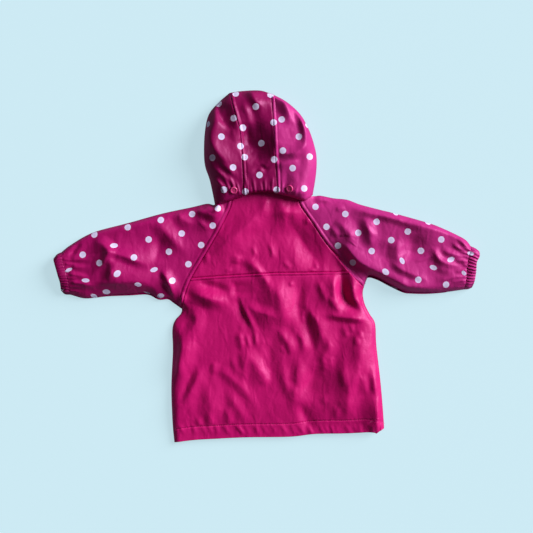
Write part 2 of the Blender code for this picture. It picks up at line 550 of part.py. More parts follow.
def make_cuffs():
    # Each cuff is a flattened tube. Its columns run over the gathered upper side (0 to 1), then back along
    # the flat side that rests (1 to 2).
    waves = np.linspace(0, 1, 2 * CUFF_GATHERS + 1)[2:-2]
    over = np.concatenate(([0, 0.025, 0.06], waves, [0.94, 0.975, 1]))
    across = np.concatenate((over, np.linspace(1.0001, 1.9999, 7), [2]))

    def make_cuff(name, seam, edge, top, under):
        def surface(a, b):
            resting = (a > 1) & (a < 2)
            share = np.where(a > 1, 2 - a, a)
            points, directions = garment_surface(patch(seam, edge, top, under, share, b))
            ends = smooth(share, 0, CUFF_GATHER_FADE) * smooth(1 - share, 0, CUFF_GATHER_FADE)
            points[:, 2] += ends * CUFF_GATHER_RISE * (np.cos(2 * pi * CUFF_GATHERS * share) + np.sin(pi * b))
            points[resting, 2] = 0.0
            directions[resting] = (0, 0, -1)
            return points, directions

        return cloth_wall(name, dotted_cloth, across, np.linspace(0, 1, 5), surface, CUFF_WALL, ring=True)

    half = GAP / 2
    make_cuff(
        "cuff_left", spline(LEFT_CUFF_SEAM) - (half, 0), spline(LEFT_CUFF_EDGE), spline(LEFT_CUFF_TOP)[::-1],
        spline(LEFT_CUFF_UNDER),
    )
    make_cuff(
        "cuff_right", spline(RIGHT_CUFF_SEAM) + (half, 0), spline(RIGHT_CUFF_EDGE), spline(RIGHT_CUFF_TOP),
        spline(RIGHT_CUFF_UNDER)[::-1],
    )


def hood_panel(name, start, edge, rim, first_side, last_side, along, across):
    # A hood panel: from its seam (0) up to the outer edge (1), rolled under to the face opening's rim (2).
    def surface(a, b):
        points = np.zeros((len(a), 3))
        directions = np.zeros((len(a), 3))
        over = b <= 1
        plan = patch(start, edge, first_side, last_side, a[over], b[over])
        height, normal = hood_height(plan)
        points[over] = np.column_stack((plan, height))
        directions[over] = normal
        under = ~over
        outer, inner = at_share(edge, a[under]), at_share(rim, a[under])
        width = np.linalg.norm(inner - outer, axis=1)
        inward = (inner - outer) / width[:, None]
        b = b[under]
        rolling = HOOD_BASE * (b - 1) / (TURNED - 1)
        in_by = np.where(b < TURNED, rolling, HOOD_BASE + (b - TURNED) / (2 - TURNED) * (width - HOOD_BASE))
        from_centre = np.clip(HOOD_BASE - in_by, 0, HOOD_BASE)
        drop = np.sqrt(HOOD_BASE**2 - from_centre**2)
        points[under] = np.column_stack((outer + in_by[:, None] * inward, HOOD_BASE - drop))
        directions[under] = np.column_stack((-from_centre[:, None] * inward, -drop)) / HOOD_BASE
        return points, directions

    return cloth_wall(name, dotted_cloth, along, across, surface, HOOD_WALL)


def make_hood():
    half = GAP / 2
    left_seam, right_seam = spline(HOOD_SEAM_LEFT), spline(HOOD_SEAM_RIGHT)
    under = (1.06, TURNED, 1.46, 1.73, 2.0)
    seam_rows = stations(HOOD_LENGTH, HOOD_CELL, finish=CLOSE_ROWS)
    gathered = np.arange(6) * NAPE_GATHER_PITCH / 2 / NAPE_SIDE_WIDTH
    side_across = np.concatenate((gathered, (0.37, 0.47, 0.57, 0.67, 0.77, 0.86, 0.94, 0.985, 1), under))
    left_edge, right_edge = spline(HOOD_EDGE_LEFT), spline(HOOD_EDGE_RIGHT)[::-1]
    left_seam_side, right_seam_side = moved_right(left_seam, -half), moved_right(right_seam, half)
    hood_panel(
        "hood_side_left", left_seam_side, left_edge, spline(FACE_RIM_LEFT), spline(NAPE_LEFT),
        np.array((left_seam_side[-1], left_edge[-1])), seam_rows, side_across,
    )
    hood_panel(
        "hood_side_right", right_seam_side, right_edge, spline(FACE_RIM_RIGHT)[::-1], spline(NAPE_RIGHT),
        np.array((right_seam_side[-1], right_edge[-1])), seam_rows, side_across,
    )
    top = spline(HOOD_TOP)
    hood_panel(
        "hood_centre", spline(NAPE_CENTRE), top, spline(FACE_RIM_TOP), moved_right(left_seam, half),
        moved_right(right_seam, -half), np.linspace(0, 1, CENTRE_COLUMNS), np.concatenate((seam_rows, under)),
    )


def make_fronts():
    half = GAP / 2
    left_raglan, right_raglan = spline(LEFT_RAGLAN, 3), spline(RIGHT_RAGLAN, 3)
    hem = spline(HEM, 3) + (0, FRONT_HEM_RISE)
    left_end, right_start = PLACKET_LEFT - half, PLACKET_RIGHT + half
    hem_left = hem[hem[:, 0] < left_end - FRONT_CORNER]
    hem_right = hem[hem[:, 0] > right_start + FRONT_CORNER]
    hem_level = np.interp((left_end, right_start), hem[:, 0], hem[:, 1])
    flat_layer(
        "front_left", plain_cloth,
        joined(
            spline(FRONT_NECK_LEFT, 3), [(left_end, PLACKET_TOP), (left_end, hem_level[0])], hem_left[:0:-1],
            spline(LEFT_SIDE, 3)[1:], moved_right(left_raglan, -half)[-2:0:-1],
        ),
        0, UNDER_LAYER,
    )
    flat_layer(
        "front_right", plain_cloth,
        joined(
            [(right_start, hem_level[1]), (right_start, PLACKET_TOP)], spline(FRONT_NECK_RIGHT, 3),
            moved_right(right_raglan, half)[1:-1], spline(RIGHT_SIDE, 3)[:-1], hem_right[-2::-1],
        ),
        0, UNDER_LAYER,
    )
    flat_layer(
        "front_placket", plain_cloth,
        [(PLACKET_LEFT + half, hem_level[0]), (PLACKET_RIGHT - half, hem_level[1]),
         (PLACKET_RIGHT - half, PLACKET_TOP), (PLACKET_LEFT + half, PLACKET_TOP)],
        PLACKET_LIFT, PLACKET_LIFT + UNDER_LAYER,
    )
    middle = (PLACKET_LEFT + PLACKET_RIGHT) / 2
    levels = np.linspace(PLACKET_TOP - FIRST_SNAP, hem_level[0] + LAST_SNAP, FRONT_SNAPS)
    for i, y in enumerate(levels):
        place = (middle, y, 0)
        disc(f"front_snap_{i + 1}", snap_plastic, SNAP_CAP_RADIUS, FRONT_SNAP_HEIGHT, place, sides=16)
    flat_layer(
        "sleeve_front_left", dotted_cloth,
        joined(
            spline(LEFT_SLEEVE_TOP, 3), spline(LEFT_NECK_END, 3)[:-1], moved_right(left_raglan, half)[1:-1],
            spline(LEFT_SLEEVE_UNDER, 3), spline(LEFT_CUFF_SEAM, 3)[-2:0:-1] + (half, 0),
        ),
        0, UNDER_LAYER,
    )
    flat_layer(
        "sleeve_front_right", dotted_cloth,
        joined(
            spline(RIGHT_NECK_END, 3)[1:], spline(RIGHT_SLEEVE_TOP, 3),
            spline(RIGHT_CUFF_SEAM, 3)[1:-1] - (half, 0), spline(RIGHT_SLEEVE_UNDER, 3),
            moved_right(right_raglan, -half)[-2:0:-1],
        ),
        0, UNDER_LAYER,
    )


def make_neck():
    half = GAP / 2
    neck, top = spline(NECK), spline(BAND_TOP)
    sides = [np.array((neck[end] + (0, half), top[end])) for end in (0, -1)]
    garment_panel(
        "neck_band", plain_cloth, neck + (0, half), top, *sides, yoke_columns, np.linspace(0, 1, 3)
    )
    for side, (x, y) in HOOD_SNAPS.items():
        heights = hood_height((x, y) + SLOPE_REACH * CROSS)[0]
        tilt = np.array((heights[1] - heights[2], heights[3] - heights[4], 2 * SLOPE_REACH))
        tilt /= np.linalg.norm(tilt)
        place = np.array((x, y, heights[0])) + SNAP_SEAT * tilt
        disc(f"hood_snap_{side}", snap_plastic, SNAP_CAP_RADIUS, SNAP_CAP_HEIGHT, place, tilt, bevel=0.5)
        around = (x, y) + SNAP_STUD_RADIUS * CROSS
        base = garment_surface(around)[0][:, 2].max() + GAP
        top_height = hood_height(around)[0].min() - HOOD_WALL - GAP
        disc(f"neck_stud_{side}", snap_plastic, SNAP_STUD_RADIUS, top_height - base, (x, y, base), sides=16)


left_knots = raglan_knots(spline(LEFT_RAGLAN), YOKE_SEAM[0][1])
right_knots = raglan_knots(spline(RIGHT_RAGLAN), YOKE_SEAM[-1][1])
yoke_columns = stations(YOKE_WIDTH, YOKE_CELL)

for item in list(bpy.data.objects):
    bpy.data.objects.remove(item)
coat = bpy.data.collections.new("toddler_raincoat")
bpy.context.scene.collection.children.link(coat)
plain_cloth = new_material("coated cloth, plain", "b11566", 0.35)
dotted_cloth = new_material("coated cloth, dotted", "a81f72", 0.4)
snap_plastic = new_material("snap plastic", "d6337f", 0.3)
make_back()
make_sleeves()
make_cuffs()
make_hood()
make_fronts()
make_neck()
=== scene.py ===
from math import cos, pi, radians, sin, sqrt

import bmesh
import bpy
import numpy as np
from mathutils import Matrix, Vector


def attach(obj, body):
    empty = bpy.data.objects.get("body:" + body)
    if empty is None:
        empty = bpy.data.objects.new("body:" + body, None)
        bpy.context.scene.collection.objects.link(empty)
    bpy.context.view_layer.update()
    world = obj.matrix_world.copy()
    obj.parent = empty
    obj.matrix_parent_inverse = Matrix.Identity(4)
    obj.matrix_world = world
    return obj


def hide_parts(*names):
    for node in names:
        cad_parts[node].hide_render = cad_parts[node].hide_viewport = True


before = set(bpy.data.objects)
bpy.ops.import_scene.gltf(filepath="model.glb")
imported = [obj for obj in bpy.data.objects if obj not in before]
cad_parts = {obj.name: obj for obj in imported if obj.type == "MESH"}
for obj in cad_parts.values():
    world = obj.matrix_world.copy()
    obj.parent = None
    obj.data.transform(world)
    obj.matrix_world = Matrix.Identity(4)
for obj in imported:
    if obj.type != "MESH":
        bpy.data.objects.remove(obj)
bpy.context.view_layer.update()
print("frame loaded:", len(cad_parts), "solids")

# A toddler's raincoat lying on its front. Working sizes are millimetres, x to the right, y towards the hood.
mm = 0.001

coat = {
    "clothThickness": 1.0,
    "rest": 1.5,  # height at which the upper layer starts, along a rolled edge
    "bodyLoft": 11.5,
    "sleeveLoft": 17.0,
    "bodyRoll": 26.0,  # how far a rolled edge takes to reach the full loft
    "sleeveRoll": 34.0,
    "sleeveStarts": 110.0,
    "sleeveFull": 220.0,
    "bodyEnds": 0.8,  # share of the way to a full sleeve where the hem's lower loft ends
    "hemShare": 0.58,
    "hemReach": 60.0,
    "hemRoll": 8.0,
    "hemRollReach": 170.0,
    "hemDepth": 21.5,  # from the edge up to the stitching
    "hemRows": (-5, 5.1, 0.8),  # closer rows beside the stitching: first, end, step
    "sideSeam": 4.0,  # in from the right-hand edge, where it shows
    "narrowRolls": (
        (("leftCuffTop", "leftSleeveTop", "rightSleeveTop", "rightCuffTop"), 8),
        (("rightSleeveUnder", "rightCuffUnder"), 16),
    ),
    "narrowReach": 12,
    "tightFold": (-143.0, -72.0, 28.0, 0.7),  # the left armpit: middle, reach, share of the roll that is lost
    "creaseSoftness": 3.0,
    "creaseSpread": 1.2,
    "creaseTaper": 0.8,  # share of a fold on either side of its peak over which it rises
    "gatherSoftness": 0.8,
    "foldsFull": 11,  # folds, gathers and seams have their full height this far from a rolled edge
    "gathersFull": 5,
    "seamsFull": 3,
    "uneven": ((0.3, 14, 24, 2.6, 8, 3), (0.12, 10, 9, 2.2, -25, 5)),  # rise, full this far in, the waves
    "cell": 1.9,  # spacing of the modelled cloth
}

hood = {
    "roll": 22.0,
    "base": 3.0,
    "loft": ((104, 20), (122, 24), (145, 26), (170, 28), (235, 30), (290, 22)),  # y, height
    "napeLevel": 10.5,  # the seam lies on the neck of the garment
    "napeRoll": 4.5,
    "gatherSoftness": 0.7,
    "foldsFull": 7,
    "uneven": ((0.35, 20, 1.8, 20, 11), (0.15, 8, 1.8, -20, 12)),  # rise, then the waves
    "turnShare": 0.2,  # share of the part turned under that goes round the edge
    "turnRows": (0.15, 1, 6),  # first, last and number, round the edge and then on to the rim
    "underRows": (1.25, 2, 14),
    "cell": 1.8,
}

# The layer that rests on the floor, with the front opening under its placket.
resting = {
    "top": 1.15,
    "uneven": ((2.0, 46, 2.2, 15, 21), (0.5, 15, 2.4, -20, 22)),  # rise, then the waves
    "foldsFull": (6, 24),
    "placketLeft": -18.0,
    "placketRight": 20.0,
    "placketTop": 70.0,
    "placketFace": 2.05,
    "placketUneven": (0.15, 16, 1.5, 80, 31),
    "placketCells": (2.5, 3.5),
    "hemRise": 2.5,  # the front's hem lies just inside the back's
    "cell": 4.0,
}

# Outlines seen from above. The outer edges run with the cloth on their right-hand side.
outline = {
    "leftSleeveTop": (
        (-338, 23.5), (-328, 32), (-300, 49.5), (-275, 59.6), (-227, 72), (-173, 87), (-122, 98),
        (-98, 103.5), (-88, 101)
    ),
    "leftSleeveUnder": (
        (-140, -68.5), (-154, -58.4), (-163, -52.6), (-178, -53.2), (-196, -45.2), (-224, -46.5),
        (-264, -48.5), (-298, -53), (-324, -47)
    ),
    "leftCuffTop": ((-350.5, 14), (-345, 20.5), (-338, 23.5)),
    "leftCuffUnder": ((-324, -47), (-333, -46.3), (-338.5, -41)),
    "rightSleeveTop": (
        (81, 116), (90, 116.8), (111, 112.6), (134, 110), (155, 102.2), (186, 94), (214, 87), (267, 72),
        (292, 62.6), (321, 48.8), (331, 42), (337.5, 33.5)
    ),
    "rightSleeveUnder": (
        (326, -38.4), (300, -41.8), (266, -44), (240, -43.4), (226, -41.4), (203, -30.5), (185, -20.8),
        (170, -16.5), (165, -24.5), (162, -33.2)
    ),
    "rightCuffTop": ((337.5, 33.5), (345, 30.3), (350.5, 26)),
    "rightCuffUnder": ((338.6, -36), (333, -38), (326, -38.4)),
    "leftSide": (
        (-152, -290.5), (-155, -258), (-157, -200), (-154.5, -140), (-155.3, -105), (-150.8, -89.5),
        (-141.4, -78.6), (-139, -71)
    ),
    "rightSide": (
        (160.5, -36.2), (159.5, -47), (163, -63), (171, -79), (180, -95), (182, -130), (188.3, -185),
        (192, -225), (194.6, -262), (194.6, -267.5)
    ),
    "hem": (
        (-152, -290.5), (-120, -286.5), (-87, -284.5), (-33, -282), (39, -281), (80, -276.5), (130, -275.5),
        (165, -273.6), (178, -274), (181.5, -275.6), (186, -272), (194.6, -267.5)
    ),
    "leftRaglan": ((-56, 111), (-61, 93), (-78, 59), (-100, 21), (-122, -16), (-133, -42), (-139.5, -69.7)),
    "rightRaglan": (
        (52, 111), (58, 97), (75, 73), (90, 50), (105, 30), (118, 16), (141, -14), (161.1, -34.8)
    ),
    "yokeSeam": ((-123.6, -19.5), (-100, -17.5), (-63, -15), (6, -11), (56, -10.2), (136, -8.4)),
    "neck": ((-56, 111), (-37, 118), (0, 123.5), (30, 119), (52, 111)),
    "leftNeckEnd": ((-88, 101), (-72, 104.8), (-56, 111)),
    "rightNeckEnd": ((52, 111), (60, 112.5), (70, 115), (81, 116)),
    "leftCuffSeam": ((-338, 23.5), (-332, 0), (-328, -14), (-325, -30), (-324, -47)),
    "leftCuffEdge": ((-350.5, 14), (-346.5, 0), (-341.5, -18), (-339, -28), (-338.5, -41)),
    "rightCuffSeam": ((337.5, 33.5), (331.5, 10), (329.5, -14), (326, -38.4)),
    "rightCuffEdge": ((350.5, 26), (350, 16), (345.7, 7), (344.5, -8), (342, -24), (338.6, -36)),
    "frontNeckLeft": ((-56, 109), (-42, 86), (-18, 71)),
    "frontNeckRight": ((20, 71), (42, 86), (52, 109)),
    "bandTop": ((-59, 128), (-37, 138), (0, 143.5), (30, 139), (54, 129)),
    "hoodSeamLeft": (
        (-37, 115.5), (-37.5, 140), (-39, 168), (-41, 200), (-44, 225), (-49, 243), (-55, 264),
        (-59.5, 286.6)
    ),
    "hoodSeamRight": ((18, 118.8), (17, 145), (15, 172), (13, 200), (12, 225), (10, 255), (8, 285)),
    "hoodEdgeLeft": (
        (-84.4, 100), (-93, 141), (-101, 165), (-103, 190), (-101.4, 223), (-95.3, 250), (-79.6, 269.7),
        (-61, 286)
    ),
    "hoodTop": ((-59.5, 286.6), (-40, 289.5), (-11, 290.5), (8, 285)),
    "hoodEdgeRight": (
        (9.5, 284.6), (33, 272), (56, 251.2), (70.5, 225.8), (79.4, 199.8), (83.3, 178), (82, 150),
        (76.8, 118)
    ),
    "napeLeft": ((-37, 115.5), (-50, 111), (-62, 106), (-84.4, 100)),
    "napeCentre": ((-37, 115.5), (-20, 119.5), (0, 120.8), (18, 118.8)),
    "napeRight": ((18, 118.8), (45, 112), (61, 107.5), (70, 112), (76.8, 118)),
    "faceRimLeft": ((-76, 108), (-73, 130), (-71, 165), (-70, 200), (-63, 233), (-43, 256)),
    "faceRimTop": ((-42, 256.6), (-18, 262), (4, 259)),
    "faceRimRight": ((4.6, 258.8), (27, 247), (44, 224), (53, 195), (55, 160), (60, 135), (68, 120)),
}

# Folds: path, rise (below zero is a trough), width on its left hand and on its right hand, share of the path
# where it is strongest, and for some a softness of their own.
bodyFolds = (
    # Below the left armpit.
    (((-132, -42), (-138, -58), (-142, -76)), 6.0, 26, 8, 0.5),
    (((-130, -42), (-95, -53), (-56, -64)), 8.5, 20, 14, 0.4),
    (((-124, -24), (-86, -35), (-50, -46)), -4.0, 9, 13, 0.5),
    (((-137, -77), (-118, -80), (-116, -94), (-130, -114), (-139, -126)), 4.5, 15, 10, 0.4),
    (((-147, -97), (-138, -122), (-141, -150), (-150, -198)), 7.0, 22, 8, 0.5),
    (((-98, -88), (-122, -122), (-133, -168)), 2.0, 18, 10, 0.5),
    # Middle of the back, left of the centre line.
    (((-50, -42), (-47, -60), (-38, -78), (-28, -95), (-17, -112)), -3.0, 6, 13, 0.4, 1.5),
    (((-50, -22), (-49, -38), (-48, -54)), -4.0, 40, 9, 0.5),
    (((-43, -57), (-33, -80), (-22, -100), (-12, -121)), 3.0, 7, 5, 0.4, 1.5),
    (((-39, -60), (-18, -73), (4, -80), (28, -91)), 5.0, 12, 22, 0.4, 2),
    (((-45, -104), (-42, -122), (-40, -142)), 3.0, 8, 8, 0.5, 1.5),
    (((-34, -108), (-28, -136)), 2.0, 5, 4, 0.5, 1),
    (((-19, -106), (-16, -133)), 2.0, 5, 4, 0.5, 1),
    (((-40, -134), (-37, -160), (-36, -182), (-38, -206)), 3.0, 10, 8, 0.5),
    (((-42, -135), (-28, -150), (-15, -168), (-7, -186), (-5, -202)), 4.0, 14, 24, 0.4),
    (((-60, -146), (-52, -162), (-45, -190)), 2.2, 8, 7, 0.5),
    (((-36, -150), (-33, -175), (-37, -206)), -1.5, 10, 8, 0.5),
    (((-82, -163), (-62, -180), (-40, -200), (-22, -225), (-8, -256)), 2.4, 10, 10, 0.3),
    (((-66, -200), (-53, -222), (-40, -245), (-30, -266)), 2.4, 9, 11, 0.5),
    (((-84, -154), (-86, -180)), 2.0, 7, 6, 0.5),
    (((-91, -176), (-94, -205), (-91, -235), (-84, -263)), 3.2, 20, 14, 0.6),
    (((-106, -158), (-116, -190), (-130, -217), (-142, -246)), 3.5, 16, 8, 0.4),
    (((-114, -160), (-128, -192), (-143, -232)), -2.0, 8, 16, 0.4),
    (((-97, -236), (-90, -264)), 2.0, 8, 8, 0.7),
    (((-114, -246), (-108, -263)), 1.5, 5, 5, 0.7),
    (((-67, -228), (-58, -265)), 2.0, 8, 7, 0.6),
    # Centre.
    (((14, -11), (17, -38), (24, -58), (27, -78), (42, -108)), 10.0, 26, 38, 0.45, 4),
    (((57, -14), (58, -35), (52, -55), (51, -75), (55, -95)), -3.5, 12, 16, 0.5),
    (((60, -68), (62, -96)), 2.0, 6, 5, 0.5),
    (((38, -24), (43, -34)), 1.5, 6, 4, 0.5, 1),
    (((20, -99), (28, -115), (38, -130), (50, -149)), 3.0, 12, 8, 0.5, 2),
    (((33, -97), (45, -113), (60, -134)), -1.0, 6, 12, 0.5, 2),
    (((54, -104), (61, -124), (63, -145)), 2.5, 12, 6, 0.5),
    (((20, -128), (34, -146)), 0.8, 5, 4, 0.5, 1),
    (((31, -128), (43, -147)), 0.8, 5, 4, 0.5, 1),
    (((2, -103), (9, -125), (6, -145), (10, -205)), -3.0, 16, 18, 0.5),
    (((-2, -165), (-3, -182), (-2, -200)), 2.0, 9, 12, 0.5),
    (((30, -160), (30, -185), (40, -220)), 3.0, 14, 11, 0.5),
    (((46, -183), (47, -206)), -1.5, 6, 7, 0.5),
    # Right of the centre line.
    (((54, -61), (63, -82), (69, -104), (76, -130), (84, -154)), -4.0, 9, 16, 0.4, 2),
    (((67, -62), (79, -82), (87, -98), (91, -118), (91, -146)), 5.0, 22, 11, 0.4, 2),
    (((92, -108), (101, -122), (102, -136), (94, -152), (90, -172)), 3.5, 15, 10, 0.5),
    (((57, -142), (53, -172), (48, -205), (44, -250)), 4.5, 26, 11, 0.4),
    (((84, -160), (76, -185), (62, -210), (56, -226)), -4.5, 26, 16, 0.4),
    (((56, -220), (62, -240), (68, -254), (76, -278)), -4.0, 18, 10, 0.5),
    (((122, -126), (128, -165), (134, -205), (130, -264)), 6.5, 18, 42, 0.6),
    (((97, -152), (96, -174)), 1.2, 5, 6, 0.5),
    (((107, -147), (106, -168)), 1.2, 5, 6, 0.5),
    (((95, -208), (95, -229)), 1.2, 5, 6, 0.5),
    (((116, -228), (115, -254)), 1.2, 5, 6, 0.5),
    # Below the right armpit.
    (((88, -79), (125, -83), (150, -86), (173, -88)), 6.0, 14, 7, 0.5, 2),
    (((121, 8), (124, -14), (125, -34), (128, -49), (139, -63), (160, -78)), -9.0, 14, 12, 0.5, 2),
    (((100, 50), (108, 24), (119, 0), (130, -22)), -5.5, 14, 50, 0.5, 2),
    (((142, -12), (144, -48), (151, -60), (165, -77)), 6.0, 12, 13, 0.5, 2),
    (((112, -4), (111, -45), (115, -62), (127, -81)), 6.5, 13, 28, 0.5),
    (((85, -22), (98, -60)), 1.8, 7, 5, 0.5, 1.5),
    (((100, -48), (123, -78)), 2.0, 8, 6, 0.6, 1.5),
    (((148, -91), (154, -118), (152, -148), (147, -180), (134, -220)), 7.5, 22, 34, 0.55),
    (((128, -95), (132, -121)), 1.8, 5, 5, 0.5),
    (((140, -94), (140, -110)), 1.4, 4, 5, 0.5),
    (((145, -109), (150, -133)), 1.8, 5, 5, 0.5),
    (((156, -105), (154, -120)), 1.4, 4, 5, 0.5),
    (((123, -160), (125, -181), (130, -204)), 2.0, 7, 6, 0.5),
    (((172, -160), (177, -185), (182, -216)), 4.0, 12, 7, 0.6),
    (((183, -200), (183, -222), (181, -277)), 6.5, 10, 24, 0.75, 1.5),
    (((158, -176), (162, -214)), 1.8, 8, 8, 0.5),
    # Yoke.
    (((-12, 116), (-15, 92), (-24, 74), (-45, 54), (-76, 28), (-103, -1)), 8.0, 28, 26, 0.45),
    (((-97, 24), (-99, 2)), 1.5, 5, 4, 0.5),
    (((0, 116), (-4, 95), (-13, 78)), 2.5, 8, 8, 0.4),
    (((24, 114), (25, 100), (30, 92), (40, 87)), 3.5, 14, 14, 0.5),
    (((0, 82), (26, 87), (64, 87)), 4.0, 9, 30, 0.6),
    (((-62, 44), (-20, 52), (30, 50), (72, 42)), -4.0, 34, 46, 0.5, 6),
    (((66, 82), (69, 67)), 1.5, 6, 6, 0.5),
    (((-24, 36), (-20, 26), (-17, 14)), 1.2, 6, 5, 0.5, 1),
    (((4, 42), (9, 26), (12, 8)), 1.8, 8, 5, 0.5, 1),
    (((24, 12), (34, 2), (42, -6)), 1.3, 7, 5, 0.6, 1),
    (((80, 12), (84, -6)), 1.2, 4, 4, 0.7, 1),
    (((73, -1), (73, -9)), 1.0, 4, 3, 0.7),
    (((78, -1), (78, -9)), 1.0, 4, 3, 0.7),
    (((32, 92), (54, 52), (76, 18), (97, -9)), -7.5, 34, 24, 0.6, 4),
    (((-36, 18), (-22, 3), (-9, -12), (3, -30), (10, -54)), 4.0, 9, 13, 0.4, 2),
    (((-49, 10), (-35, -2), (-24, -14)), -1.5, 6, 10, 0.5),
    (((-46, 20), (-50, 2)), 2.0, 9, 10, 0.5),
    (((-66, 0), (-60, -11)), 1.3, 5, 4, 0.7),
)
sleeveFolds = (
    # Left forearm.
    (((-287, 46), (-262, 30), (-260, 20), (-268, 4), (-292, -21)), 10.0, 14, 34, 0.4, 1.5),
    (((-270, 29), (-245, 21), (-225, 14), (-205, 6), (-184, -1)), 7.0, 30, 9, 0.4, 1.5),
    (((-257, 14), (-249, 4), (-251, -8), (-260, -26)), 5.0, 24, 9, 0.45, 2),
    (((-252, 40), (-256, -40)), 8.0, 100, 14, 0.5),
    (((-300, 50), (-250, 66), (-200, 80), (-150, 92)), 4.0, 6, 34, 0.5),
    # Left upper arm.
    (((-171, 56), (-177, 32), (-180, 2)), -5.0, 22, 12, 0.5, 2),
    (((-190, 80), (-168, 60), (-152, 42), (-136, 26), (-124, 10)), 5.0, 16, 14, 0.4),
    (((-146, 96), (-141, 82), (-130, 73), (-110, 68)), 4.5, 10, 13, 0.4, 2),
    (((-122, 99), (-106, 90), (-76, 77)), 5.0, 8, 9, 0.5, 1),
    (((-100, 114), (-90, 100), (-70, 82)), 7.0, 8, 15, 0.55, 1.5),
    (((-120, 80), (-104, 68), (-88, 57)), 3.5, 8, 14, 0.5, 1),
    (((-96, 104), (-84, 100), (-70, 96)), 6.0, 6, 18, 0.5, 2),
    (((-88, 108), (-84, 84), (-92, 56)), 6.0, 16, 60, 0.35),
    # Left underarm.
    (((-174, -4), (-165, -17), (-157, -31), (-150, -48)), 7.5, 13, 6, 0.4, 1),
    (((-178, -24), (-164, -28), (-157, -38), (-152, -54)), 5.0, 8, 5, 0.5, 1),
    (((-322, -20), (-290, -25), (-250, -27), (-215, -26), (-190, -32), (-165, -47)), 7.0, 24, 14, 0.5, 1.5),
    # Drawn in by the left cuff.
    (((-327, -12), (-305, -15), (-286, -19)), 3.0, 5, 8, 0.3, 1),
    (((-326, -25), (-300, -29), (-268, -34)), 4.0, 6, 8, 0.3, 1),
    (((-323, 11), (-300, 11), (-282, 10)), 2.5, 8, 5, 0.3, 1),
    (((-322, -1), (-300, -1), (-284, 0)), 3.0, 5, 9, 0.3, 1),
    (((-325, 14), (-314, 28), (-302, 43)), -3.0, 5, 6, 0.5, 1),
    # Right shoulder and upper arm.
    (((74, 114), (92, 114), (110, 110)), 3.0, 4, 10, 0.5, 1),
    (((72, 103), (90, 103), (106, 108)), -2.5, 8, 6, 0.5, 1),
    (((112, 98), (120, 95), (130, 99)), 2.0, 6, 6, 0.5, 1.5),
    (((102, 62), (110, 60), (115, 53), (114, 44)), 3.0, 6, 10, 0.5, 1.5),
    (((112, 80), (130, 61), (138, 50), (132, 42), (129, 33)), 7.0, 18, 20, 0.5, 2),
    (((154, 88), (164, 70), (168, 54), (171, 42), (180, 24)), 6.0, 18, 13, 0.45, 2),
    (((158, 66), (168, 60), (180, 46)), 2.0, 6, 6, 0.5, 1.5),
    (((138, 101), (152, 92), (170, 88), (200, 81), (240, 68), (285, 52)), 4.5, 16, 8, 0.3, 2),
    (((226, 84), (252, 76), (278, 66), (302, 52)), 6.5, 5, 36, 0.5),
    (((198, 44), (196, 20), (192, 0)), -3.0, 18, 22, 0.5),
    # Right underarm.
    (((110, 44), (129, 35), (141, 20), (152, 8), (171, -3), (200, -18), (234, -35)), 9.0, 26, 10, 0.35, 1.5),
    (((100, 38), (112, 25), (126, 9), (144, -12), (160, -30)), -8.0, 26, 3, 0.55, 1.5),
    # Right forearm.
    (((217, 50), (214, 20), (222, -3)), 3.0, 10, 24, 0.5, 2),
    (((243, 56), (239, 27), (236, 6)), -6.0, 30, 18, 0.5),
    (((203, 14), (213, 1), (228, -8), (250, -17), (276, -28)), 5.5, 30, 8, 0.35, 1.5),
    (((272, -27), (298, -20), (324, -14)), 3.0, 14, 5, 0.6, 1),
    (((200, -18), (226, -32), (255, -37), (292, -37)), 6.0, 20, 6, 0.35, 1.5),
    (((237, 13), (250, 10), (266, 16), (276, 26)), 2.0, 8, 4, 0.5, 1),
    (((275, 34), (279, 18), (288, 8), (305, 2), (326, -3)), 6.0, 9, 9, 0.35, 1.5),
    (((274, 4), (290, -5), (312, -11)), 3.0, 12, 8, 0.5, 2),
    # Drawn in by the right cuff.
    (((284, 28), (300, 22), (328, 12)), 4.0, 8, 9, 0.4, 1),
    (((306, 12), (330, 5)), 2.0, 5, 4, 0.6, 1),
    (((313, 52), (320, 42), (328, 33), (337, 27)), 4.0, 6, 6, 0.5, 1),
    (((305, 42), (313, 31), (331, 23)), 3.0, 7, 4, 0.5, 1),
    (((304, -9), (330, -7)), 1.8, 5, 4, 0.7, 1),
    (((300, -26), (328, -23)), 1.8, 5, 4, 0.7, 1),
)
